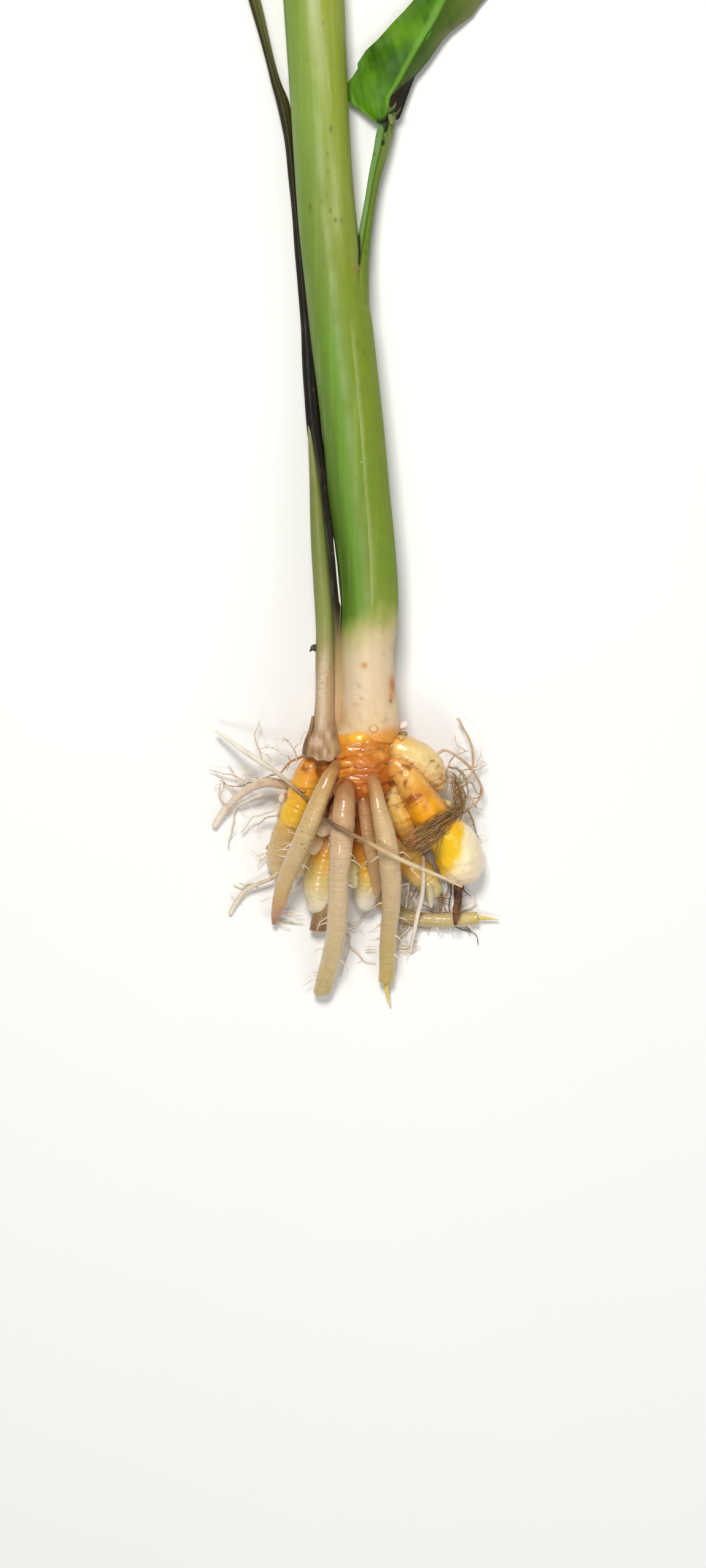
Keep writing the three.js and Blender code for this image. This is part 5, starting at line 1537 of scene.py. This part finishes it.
def build_stem():
    """The main shoot: one limb, trimmed square over a cut face of close rings, and a lost root's scar."""
    form = limb(STEM_ROUTE, sides=132, step=STEM_STEP, skin=stem_skin, foot=CUT, tip=CUT)
    y = form.points[:, 1]
    rings = np.abs(np.sin(form.share * 15 + 0.6 * np.sin(form.angle)))
    cut_face = shade(rings, [(0, 120, 140, 70), (0.22, 206, 212, 150), (1, 222, 222, 172)])
    cut = (form.share < 0.98) & (y > TRIM_Y - 1)
    tint = np.where(cut[:, None], cut_face, stem_tint(y, signed_degrees(form.angle), form.points))
    form.paint(tint, front_marks(form.points, STEM_MARKS, np.sin(form.angle) > 0.05))
    add_piece("main_stem_skin", trim(gather([form, ring_scar()])), "stem_sheath", "main_stem")


def ring_scar():
    """The raised rim of a lost root on the shoot's base: a thin limb round a circle that lies on the skin."""
    turn = np.radians(np.linspace(0, 358, 15))
    x, y = 8.9 + 1.5 * np.cos(turn), 15.8 + 1.35 * np.sin(turn)
    z = 21.8 + np.sqrt(11.1**2 - (x - 7.2) ** 2)
    rim = limb(together(x, y, z, 0.28), sides=8, step=0.3, axes=carried_axes)
    pale = ease(-0.2, 0.6, mottle(rim.points, 1))
    return rim.paint(dye(full((208, 154, 90), pale), (226, 186, 124, pale)))


def trim(form):
    """Moves what runs past the trim height back on to it."""
    form.points[:, 1] = np.minimum(form.points[:, 1], TRIM_Y)
    return form


def sheath_wall(y, degrees):
    """How far the outer leaf's sheath stands off the shoot: thin at its front edge, thickest on the right,
    thin again behind and near its top, and sunk into the shoot at the foot."""
    thick = np.interp(degrees, [-150, -120, -40, 10, 45, 70], [0.3, 0.6, 1.5, 2.0, 0.9, 0.06])
    return thick * ease(20, 72, y) * (1 - 0.9 * ease(160, 184, y)) - 1.0 * ease(60, 38, y)


def build_sheath():
    """The outer leaf's sheath, wrapped round the right of the shoot from its front edge to its back edge: the
    shoot's radius plus the wall's, dipping into the shoot along both edges."""
    rows, along, _, side, over = framed(STEM_ROUTE, STEM_STEP, 24, 185.5)
    share = np.linspace(0, 1, 96)[None, :] ** 1.5
    from_edge = np.minimum(share, 1 - share)
    y = rows[:, 1:2]
    front = at_height(y, SHEATH_FRONT) + 0.7 * mottle(together(3, y, 0), 7)
    degrees = front + (at_height(y, SHEATH_BACK) - front) * share
    a = np.radians(degrees)
    edge = np.minimum(from_edge * 22, 1) ** 0.5
    place = about(10, a, along[:, None])
    wall = sheath_wall(y, degrees)
    wall = mix(-0.35, 0.06 + wall * np.where(wall > 0, edge, 1), ease(0, 0.018, from_edge))
    radius = rows[:, 3:4] + wall + (fine_ribs(place) + 0.1 * mottle(place, (7, 7, 24))) * edge
    outer, inner = (
        around(rows[:, None], side[:, None], over[:, None], a, r)
        for r in (radius, np.minimum(rows[:, 3:4] - 0.8, radius - 0.4))
    )
    flat = outer.reshape(-1, 3)
    y, degrees, margin = flat[:, 1], degrees.ravel(), (front - degrees).ravel()
    broad, shift = green_noise(flat)
    membrane = bump(margin, 4.6, 5.2 + 2 * broad) * ease(50, 66, y) * ease(168, 150, y) * (0.8 + 0.4 * broad)
    tint = dye(
        shade(y + shift, SHEATH_TONE),
        (160, 172, 108, 0.6 * np.clip(membrane, 0, 1)),
        (106, 124, 38, 0.4 * bump(margin, 9, 6) * ease(150, 176, y)),
        (132, 150, 62, 0.4 * ease(30, 4, degrees) * ease(70, 90, y)),
        (146, 164, 78, 0.2 * ease(0.2, 0.8, mottle(flat, (1.0, 40, 1.0))) * ease(60, 76, y)),
        stain_coat(flat),
        *axil_coats(flat),
    )
    marks = front_marks(flat, SHEATH_MARKS, np.sin(np.radians(degrees)) > 0)
    return closed_sheet(outer, inner, tint=tint, mark=marks, grain=place)


def build_petiole():
    """The leaf's stalk: a round back and a channel along its face, deepest at 112 degrees. Near its top it is
    painted dark as shade of the torn fold at the blade's foot.
    """

    def channelled(s, a, centre):
        degrees = np.degrees(a)
        groove = bump(degrees, 112, 26) * ease(182, 200, centre[..., 1])
        lips = 0.25 * bump(degrees, 160, 16) + 0.25 * bump(degrees, 70, 16)
        return -0.8 * groove + lips + 0.05 * mottle(about(3, a, s), (0.7, 0.7, 20))

    form = limb(PETIOLE_ROUTE, sides=44, step=0.6, skin=channelled)
    points, degrees = form.points, np.degrees(form.angle)
    x, y = points[:, 0], points[:, 1]
    facing = np.sin(form.angle) > 0
    # two dark patches near the top, painted as shade of the torn fold at the blade's foot
    hole_shade = bump(x, 12.7, 0.8) * bump(y, 232.2, 1.5) * facing + 0.2 * mottle(points, 0.9)
    torn = bump(x, 13.4, 1.5) * bump(y, 240, 3.2) * facing + 0.25 * mottle(points, 1.4)
    tint = dye(
        shade(y, PETIOLE_TONE),
        (104, 144, 74, 0.8 * ease(96, 124, degrees) * ease(236, 215, degrees) * ease(184, 196, y)),
        (66, 90, 24, 0.5 * bump(degrees, 104, 9)),
        (134, 142, 92, 0.75 * bump(degrees, 25, 40) * ease(214, 236, y)),
        # painted shade: the first dark patch
        (26, 42, 12, 0.95 * ease(0.3, 0.6, hole_shade)),
        *axil_coats(points),
        # painted shade: the second dark patch, in the torn fold
        (30, 46, 14, 0.9 * ease(0.25, 0.6, torn)),
    )
    return form.paint(tint, 0.45 * ease(0.55, 0.9, mottle(points, (1.2, 2.4, 1.2))))


def sweep_line(points, count):
    """A polyline's points at even shares of its length."""
    far = distances(points)
    return read_rows(np.linspace(0, far[-1], count), far, points)


def half_blade(edge, side, count_up=150, count_across=56):
    """Half of the blade as a grid: from the midrib (u = 0) to its edge (u = 1), arched by sin(pi u), with
    slanting veins, a few broad waves, and a little sag towards the edge. Returns the points, how far out of
    the midrib they lie and up the slanting veins, and how far out the edge lies."""
    middle = sweep_line(grow_route([(*p, 0) for p in MIDRIB], 0.8)[0][:, :3], count_up)
    border = sweep_line(np.array(edge, float), count_up)
    u = np.linspace(0, 1, count_across)[None, :]
    v = np.linspace(0, 1, count_up)[:, None]
    points = middle[:, None] * (1 - u[..., None]) + border[:, None] * u[..., None]
    reach = np.linalg.norm(border - middle, axis=1)[:, None]
    out = u * reach
    slant = v * 66 - out * (0.55 if side < 0 else 0.35) + 0.5 * mottle(points, 6)
    arch = (1.7 if side < 0 else 0.9) * np.sin(math.pi * np.minimum(u * 1.15, 1))
    veins = 0.01 * np.sin(slant * FULL_TURN / VEIN_GAP) * ease(0.02, 0.2, u)
    waves = 0.7 * np.sin(slant / 9.0 + 1.3 * u) * u
    folds = 0.3 * mottle(together(slant, 0, out * 0.35), (5.6, 1, 3.6))
    crumple = 0.5 * mottle(points, 7) + folds + 0.06 * mottle(points + 9, 2.6)
    points[..., 2] += arch + waves + veins + crumple * np.minimum(u * 2.5, 1)
    return points, out, slant, reach


def left_blade_tint(x, y, broad):
    """The blade's left half: deep green, mottled along its veins."""
    fine = mottle(together(x + 0.25 * y, 0, y), (1.3, 1, 9))
    tint = shade(0.5 + 0.4 * broad + 0.24 * fine, [(0, 50, 92, 8), (0.5, 74, 122, 12), (1, 102, 150, 24)])
    return dye(tint, (54, 92, 10, 0.4 * bump(x, 8, 5) * bump(y, 262, 9)))


def right_blade_tint(x, y, broad, out, reach):
    """The blade's right half: duller, greyed along its edge, and painted dark by the tear at its foot, as
    shade of the half folded under there.
    """
    tint = dye(
        shade(y + 6 * broad, RIGHT_BLADE_TONE),
        (128, 120, 84, 0.6 * ease(0.5, 1.0, out / reach) * ease(262, 276, y)),
        (46, 80, 10, 0.55 * ease(8, 2, out) * ease(256, 264, y)),
    )
    # painted shade: the folded-under foot of this half is dark brown below this line
    out_of_fold_shade = np.maximum(ease(-0.4, 0.8, y - 248.4 - (x - 14.2) * 0.9 + 0.3 * broad), ease(257.5, 259.5, y))
    tint = mix(shade(x, [(15, 48, 30, 14), (20, 28, 24, 10)]), tint, out_of_fold_shade)
    stripe = bump(x - 15.8 + 0.35 * (y - 243.4), 0, 0.7) * ease(246, 244, y)
    return dye(tint, (150, 160, 110, 0.85 * stripe))


def build_blade():
    """The blade's two halves, each a closed sheet. Its pale midrib shows where they meet."""
    forms = []
    for edge, side in ((LEFT_EDGE, -1), (RIGHT_EDGE, 1)):
        points, out, slant, reach = half_blade(edge, side)
        x, y = points[..., 0], points[..., 1]
        broad = rough(points, 8)
        tint = left_blade_tint(x, y, broad) if side < 0 else right_blade_tint(x, y, broad, out, reach)
        between = 0.5 - 0.5 * np.sin(slant * FULL_TURN / VEIN_GAP)
        tint = mix(tint, tint * 0.85, 0.1 * between * ease(0.5, 2.5, out))
        blotch = rough(together(x + 0.25 * y, 0, y) + 40, (3.2, 1, 15))
        tint = mix(tint, tint * 0.62, 0.6 * ease(0.1, 0.9, blotch))
        midrib = np.interp(y, [240, 256, 284], [1.4, 2.2, 4.6]) if side < 0 else 0.7
        # painted shade: a dark patch in the torn fold at the blade's foot
        torn = ease(0.5, 0.9, bump(x, 12.6, 3.2) * bump(y, 239.6, 3.2) + 0.25 * mottle(points, 1.5))
        tint = dye(
            tint,
            (100, 146, 28, 0.35 * ease(0.1, 0.9, -blotch) * (side < 0)),
            (104, 156, 46, 0.75 * ease(midrib, 0.35 * midrib, out)),
            (24, 40, 12, 0.9 * torn),
        )
        under = points - (0, 0, BLADE)
        grain = together(slant * 1.3, 0, out)
        forms.append(closed_sheet(points, under, side < 0, tint=tint, grain=grain, mark=0.12 * torn))
    return gather(forms)


def build_midrib():
    """The ridge under the blade, flattened, that the two halves meet on."""
    route = [(x, y, z - 1.3, r, 0.8) for (x, y, z), r in zip(MIDRIB[4:], (0.8, 1.2, 1.3, 1.25, 1.1))]
    form = limb(route, sides=24, step=0.8, tip=CUT)
    return form.paint(shade(form.points[:, 1], MIDRIB_TONE))


def torn_flaps(draw):
    """Shreds of torn blade where it leaves the stalk: small curled strips, x and z turning as they rise."""
    forms = []
    v = np.linspace(0, 1, 14)[:, None]
    u = np.linspace(-1, 1, 7)[None, :]
    for x, y, z, length, wide, turn, lean, colour in TORN_FLAPS:
        half = u * (0.5 * wide * np.sin(math.pi * (0.14 + 0.8 * v)))
        front = together(
            x + lean * length * v + 0.5 * np.sin(2.5 * v) + half * np.cos(turn * v),
            y + length * 0.8 * v,
            z + 0.6 * np.sin(3 * v) - half * np.sin(turn * v),
        )
        tint, grain = linear(colour) * draw.uniform(0.9, 1.1), together(u * 2, 0, v * length)
        forms.append(closed_sheet(front, front - (0.05, 0, 0.16), tint=tint, grain=grain, mark=0))
    return gather(forms)


def build_outer_leaf(draw):
    """The outer leaf in four pieces, which together stand for one node."""
    blade = trim(gather([build_blade(), build_midrib()]))
    parts = {"sheath": build_sheath(), "petiole": build_petiole(), "blade": blade, "shreds": torn_flaps(draw)}
    for name, form in parts.items():
        add_piece("outer_leaf_" + name, form, "leaf_green", "outer_leaf")


# ---- The side shoot and its scale ----

SHOOT_ROUTE = [
    (-9.3, 5.6, 28, 7.0, 4.8), (-9.3, 7.0, 28.1, 7.2, 5.4), (-9.3, 9.2, 28.2, 6.7, 5.9),
    (-9.1, 12.8, 27.8, 5.5, 5.8), (-9.1, 16.4, 27.2, 4.4, 5.2), (-9, 21, 26.6, 3.7, 4.7),
    (-8.7, 30, 25.6, 3.5, 4.4), (-8.8, 42, 24.2, 3.4, 4.4), (-8.8, 52, 23.2, 3.35, 4.4),
    (-9.35, 62, 22.4, 3.25, 4.3), (-10.15, 72, 21.6, 3.05, 4.1), (-11, 84, 20.5, 2.85, 3.9),
    (-12, 98, 19.2, 2.3, 3.4), (-13.1, 112, 17.8, 1.5, 2.6), (-14.2, 122, 16.7, 0.8, 1.6),
    (-14.7, 127, 16.2, 0.4, 0.6),
]
SHOOT_TONE = [
    (4, 192, 156, 114), (9, 170, 134, 94), (14, 174, 140, 102), (20, 184, 154, 116), (30, 182, 152, 112),
    (38, 170, 144, 100), (44, 154, 146, 92), (56, 136, 142, 76), (80, 120, 130, 64), (104, 116, 124, 62),
    (126, 136, 138, 86),
]
STALK_ROUTE = [
    (-4.6, 12, 23.6, 1.6), (-4.5, 20, 24.0, 2.1), (-4.0, 30, 23.6, 2.3), (-4.0, 46, 22.2, 2.3),
    (-4.8, 57, 21, 2.2), (-6.0, 70, 19.4, 2.4), (-7.4, 84, 18.2, 2.5), (-9.2, 98, 17, 2.4),
    (-10.7, 112, 15.8, 2.5), (-12.7, 125, 15, 2.6), (-14.2, 142, 13.8, 2.5), (-15.3, 160, 12.4, 2.3),
    (-16.2, 172, 11.4, 2.2), (-17.3, 185, 10.2, 2.1), (-19, 203, 8.6, 1.9), (-20.5, 219, 7.4, 1.8),
    (-21.6, 230, 6.6, 1.85), (-23, 240, 6, 2.1), (-24.6, 248, 5.6, 2.2), (-26.9, 255, 5.2, 1.75),
    (-29.25, 264, 4.8, 1.55), (-32.1, 275, 4.2, 1.7), (-34.2, 283, 3.8, 2), (-38.2, TRIM_Y, 3.2, 2.1),
]
# Colours up the stalk: near black from 60 to 200, painted shade of the valley beside the stem over the
# stalk's own dark brown.
STALK_TONE_SHADED = [
    (14, 188, 150, 106), (26, 192, 160, 118), (38, 164, 138, 92), (50, 92, 82, 44), (60, 34, 27, 10),
    (110, 16, 12, 3), (150, 15, 12, 2), (200, 26, 22, 4), (232, 40, 36, 6), (256, 60, 58, 12),
    (298, 86, 88, 26),
]
SHOOT_HEM = [(0.985, 0.02), (0.92, 0.05), (0.6, 0.06), (0.2, 0.06)]
SLIVER_ROUTE = [
    (-5.75, 86, 21.6), (-5.5, 84, 21.8), (-4.7, 77, 22.2), (-4.0, 69, 22.6), (-3.3, 62.2, 23),
    (-3.0, 60.6, 23.2), (-3.3, 55, 23.4), (-3.6, 50, 23.6),
]
SCALE_TONE = [(0, 96, 64, 38), (0.5, 132, 94, 58), (1, 160, 122, 82)]
COLLAR_TONE = [(0, 216, 148, 54), (0.5, 204, 140, 62), (1, 156, 102, 52)]
NUB_ROUTE = [
    (-11.6, 45, 24.4, 1.3, 1.1), (-12.9, 45.4, 24.8, 1.15, 0.9), (-13.7, 44.6, 25, 0.55, 0.5),
    (-14.2, 44.1, 25, 0.25, 0.3),
]

# Papery scales left on the rings: the finger, its ring's share of the length, the angles it spans, how far it
# reaches along the finger, and how far its free edge lifts.
NODE_SCALES = [
    ("left", 0.2, 50, 100, 1.0, 0.25), ("lower_middle", 0.34, 40, 110, 1.2, 0.3),
    ("lower_right", 0.34, 50, 130, 1.2, 0.3), ("rear_right", 0.3, 30, 120, 2.0, 0.6),
    ("rear_right", 0.55, -150, -60, 2.0, 0.6), ("heel", 0.5, -170, -90, 2.2, 0.5),
    ("under_right", 0.35, -80, 10, 2.0, 0.6), ("heel", 0.7, 170, 230, 1.8, 0.5),
    ("left", 0.86, -60, 20, 1.4, 0.4),
]


def papery(s, a, centre):
    """Extra radius of the side shoot: folds, a crease and a ragged hem at its foot, and fine ribs above."""
    place = about(5, a, s)
    y = centre[..., 1]
    foot = ease(24, 8, y)
    folds = 0.2 * foot * np.sin(5 * a + 3 * mottle(place, 5)) + 0.7 * foot * mottle(place, (2.2, 2.2, 5))
    crease = -0.9 * foot * bump(np.degrees(a), 97, 7)
    hem = 0.5 * mottle(place, (1.3, 1.3, 30)) * ease(10, 5.5, y)
    return folds + crease + 0.07 * mottle(place, (1.1, 1.1, 26)) + hem + 0.1 * mottle(place, (4, 4, 11))


def shoot_body():
    """The side shoot's own sheath, scalloped along its foot and tapering to a point, with a painted highlight
    down its middle, patches of painted highlight and shade at its foot, and painted shade on the side that
    faces the stem.
    """
    form = limb(SHOOT_ROUTE, sides=84, step=0.5, skin=papery, foot=SHOOT_HEM)
    points, a = form.points, form.angle
    scallop = 0.5 * np.sin(3 * a + 0.8) + 0.35 * np.sin(8 * a + 2.0) + 1.5 * np.abs(np.cos(a)) ** 2.5 - 0.7
    points[:, 1] += scallop * form.share * ease(12, 5.5, points[:, 1])
    x, y = points[:, 0], points[:, 1]
    broad = rough(points, (3, 10, 3))
    stripe = bump(x, np.interp(y, [16, 30, 45], [-9.6, -10, -8.6]), 1.5) * ease(12, 18, y) * ease(48, 38, y)
    patchy = mottle(points + 60, (1.6, 3.2, 2.4)) * ease(22, 12, y)
    tint = dye(
        shade(y + 4 * broad, SHOOT_TONE),
        # painted highlight: the pale streak down its middle
        (222, 204, 178, np.clip(stripe * (0.75 + 0.25 * broad), 0, 1)),
        (160, 122, 92, 0.4 * ease(18, 8, y) * ease(-0.4, 0.6, mottle(points, (1.6, 4, 3)))),
        # painted highlight where patchy is high, painted shade where it is low
        (208, 182, 158, 0.7 * ease(0.05, 0.6, patchy)),
        (122, 84, 58, 0.55 * ease(-0.1, -0.6, patchy)),
        (206, 178, 150, 0.7 * ease(5.2, 3.8, y)),
        # painted shade on the side that faces the stem
        (100, 106, 48, 0.55 * ease(0.35, 0.95, np.cos(a)) * ease(30, 60, y)),
    )
    return form.paint(tint, np.clip(bump(y, 34, 9) * 0.9 + 0.3 * bump(y, 12, 8) + 0.12, 0, 1))


def shoot_stalk():
    """The dark stalk that rises out of the side shoot beside the stem, with a shallow channel along it,
    painted near black along its middle as shade of the valley beside the stem.
    """

    def skin(s, a, centre):
        place = about(3, a, s)
        ribs = 0.08 * mottle(place, (0.8, 0.8, 18)) + 0.12 * mottle(place, (3, 3, 14))
        return ribs - 0.35 * bump(np.degrees(a), 70, 24)

    form = limb(STALK_ROUTE, sides=34, step=0.8, skin=skin, tip=CUT)
    points, facing = form.points, np.cos(form.angle)
    y = points[:, 1]
    tint = dye(
        shade(y + 5 * mottle(points, (3, 12, 3)), STALK_TONE_SHADED),
        (158, 166, 112, 0.35 * ease(0.5, 0.95, facing) * ease(252, 272, y)),
        (40, 34, 14, 0.8 * ease(-0.1, -0.75, facing) * ease(180, 250, y)),
    )
    return trim(form.paint(tint, 0.35 * ease(0.0, 0.7, mottle(points, (1, 5, 1)))))


def membrane_sliver():
    """The bright edge of the shoot's own sheath: a narrow strip that stands up beside the stem."""
    even = sweep_line(np.array(SLIVER_ROUTE), 80)[:, None]
    v = np.linspace(0, 1, 80)[:, None]
    u = np.linspace(-1, 1, 7)[None, :]
    wide = 0.36 * np.interp(v, [0, 0.06, 0.3, 0.66, 0.71, 0.76, 1], [0.1, 0.6, 0.95, 1.0, 0.3, 0.4, 0.15])
    points = even + together(u * wide, 0, 0.22 * (1 - u**2))
    bright = np.interp(v, [0, 0.04, 0.68, 0.73, 1], [0.4, 1, 1, 0.2, 0.15])
    bright = bright * (1 - 0.8 * ease(0.7, 1.0, np.abs(u)))
    tint = dye(full((128, 116, 92), bright), (232, 230, 222, bright))
    return closed_sheet(points, points - (0, 0, 0.25), tint=tint, grain=together(u, 0, even[..., 1]))


def dry_nub():
    """The dry stub on the shoot's left edge."""
    form = limb(NUB_ROUTE, sides=18, step=0.2, axes=carried_axes)
    dark = ease(-0.4, 0.6, mottle(form.points, 0.7))
    return form.paint(dye(full((96, 86, 74), dark), (60, 50, 42, dark)))


def build_base_scale():
    """The dry scale behind the shoot's foot: part of a cone that flares to the left, torn along its top."""
    rows, _, _, side, over = framed(SHOOT_ROUTE, 0.5, 6.4, 19)
    y = rows[:, 1:2]
    share = np.linspace(0, 1, 46)[None, :]
    high = ease(0.0, 1.0, (y - 6) / 13)
    tear = 1.6 * mottle(together(share * 14, 0, 0), 1.0) * high
    degrees = 138 + 12 * high + share * (96 - 46 * high)
    waves = 0.2 * mottle(together(share * 12, y, 0), (1.2, 6, 1))
    flare = 0.15 + 0.3 * bump(y, 9, 7) * ease(0, 0.3, share) + waves
    wide, tall = rows[:, 3:4] + flare + 0.3 * ease(0.8, 1, 1 - share), rows[:, 4:5] + flare
    outer, inner = (
        around(rows[:, None], side[:, None], over[:, None], np.radians(degrees), wide + off, tall + off)
        + together(0, tear, 0)
        for off in (0.28, 0.0)
    )
    tint = shade(0.5 + 0.5 * rough(outer, (2, 12, 2)), SCALE_TONE)
    edge = np.minimum(bump(share, 0, 0.06) + bump(high, 1, 0.08), 1)
    form = closed_sheet(outer, inner, True, tint=tint, grain=together(degrees / 9, 0, y), mark=edge)
    add_piece("base_scale_shell", form, "dry_scale", "base_scale")


def build_node_scales():
    """Small torn collars: radius + lift * v^1.5 over the finger, narrower and ragged at the free edge."""
    forms = []
    v = np.linspace(0, 1, 9)[:, None]
    u = np.linspace(0, 1, 22)[None, :]
    round_off = np.sqrt(np.clip(1 - (2 * u - 1) ** 2, 0.02, 1))
    for number, (name, ring, start, end, reach, lift) in enumerate(NODE_SCALES):
        rows, along, _, side, over = framed(RHIZOME_LIMBS[name]["route"], 0.3)
        teeth = 0.8 + 0.3 * mottle(together(u * 4 + 3 * number, 0, 0), 1.0)
        degrees = start + (end - start) * u + 0 * v
        a = np.radians(degrees)
        s = ring * along[-1] - 0.3 + v * reach * teeth * round_off + RING_SLANT * 4.5 * np.sin(a)
        row = read_rows(s, along, np.column_stack([rows, side, over]))
        radius = row[..., 3] + 0.1 + lift * v**1.5 * (0.7 + 0.5 * teeth)
        outer, inner = (around(row, row[..., 4:7], row[..., 7:], a, radius + off) for off in (0.12, 0.0))
        tint = shade(v + 0.2 * mottle(outer, 1.2), COLLAR_TONE)
        look = {"tint": tint, "grain": together(degrees / 12, 0, v * reach), "mark": ease(0.7, 1.0, v)}
        forms.append(closed_sheet(outer, inner, True, **look))
    add_piece("node_scales", gather(forms), "dry_scale", slot="rhizome_skin")


# ---- The ground, the light and the camera ----


def build_stage():
    """A wide flat ground just under the plant."""
    size, count, depth = 2600.0, 21, 0.05
    line = np.linspace(-size, size, count)
    x, y = np.meshgrid(line, line)
    sheet = Form(together(x, y, -depth), grid_quads(count, count)[:, ::-1])
    floor = new_object("pale_ground", make_mesh("pale_ground", sheet))
    floor.data.materials.append(floor_finish())


def add_lamp(name, place, aim, size, power, tone):
    """A soft square lamp at place that faces aim, both in millimetres."""
    lamp = bpy.data.lights.new(name, "AREA")
    lamp.shape = "RECTANGLE"
    lamp.size = lamp.size_y = size * MM
    lamp.energy = power
    lamp.color = tone
    back = np.subtract(place, aim) / np.linalg.norm(np.subtract(place, aim))
    right = np.cross([0.0, 1.0, 0.0] if abs(back[2]) > 0.9 else [0.0, 0.0, 1.0], back)
    right /= np.linalg.norm(right)
    matrix = np.eye(4)
    matrix[:3] = np.column_stack([right, np.cross(back, right), back, np.array(place) * MM])
    new_object(name, lamp).matrix_world = matrix.T.tolist()


def build_light():
    """A dim even room, a warm key lamp, a wide cool fill lamp, and a small lamp for the glints."""
    world = bpy.data.worlds.new("soft_room")
    world.use_nodes = True
    background = world.node_tree.nodes["Background"].inputs
    background["Color"].default_value = (0.98, 0.99, 1.0, 1.0)
    background["Strength"].default_value = 0.19
    bpy.context.scene.world = world
    add_lamp("key_lamp", (-110, 440, 920), (0, 20, 0), 280, 7.8, (1.0, 0.98, 0.94))
    add_lamp("fill_lamp", (520, -420, 760), (0, 20, 0), 700, 2.4, (0.95, 0.98, 1.0))
    add_lamp("glint_lamp", (-170, -520, 860), (0, -20, 0), 180, 1.8, (1.0, 0.98, 0.95))


def build_camera():
    """The camera looks straight down on the plant, with the shoots running up the picture."""
    camera = bpy.data.cameras.new("camera")
    camera.sensor_width = 36.0
    camera.lens = 75.0
    camera.clip_start, camera.clip_end = 0.05, 20.0
    holder = new_object("camera", camera)
    holder.location = [part * MM for part in VIEW]
    bpy.context.scene.camera = holder


build_rhizome()
build_node_scales()
for number, (root_name, root_item) in enumerate(STORAGE_ROOTS.items()):
    build_storage_root(root_name, root_item, number + 1)
build_dead_root()
build_fibrous_roots()
random_draw = np.random.default_rng(7)
hair_group("hair_roots_left", LEFT_HAIRS, random_draw)
hair_group("hair_roots_lower", LOWER_HAIRS, random_draw, twigs=1)
hair_group("hair_roots_right", RIGHT_HAIRS, random_draw)
hair_group("hair_roots_upper_right", UPPER_RIGHT_HAIRS, random_draw)
build_rootlets(random_draw)
build_fibre_tuft(random_draw)
build_stem()
build_outer_leaf(random_draw)
side_shoot = gather([shoot_body(), shoot_stalk(), membrane_sliver(), dry_nub()])
add_piece("side_shoot_skin", side_shoot, "side_shoot_sheath", "side_shoot")
build_base_scale()
build_stage()
build_light()
build_camera()
bpy.context.scene.view_settings.view_transform = "Standard"
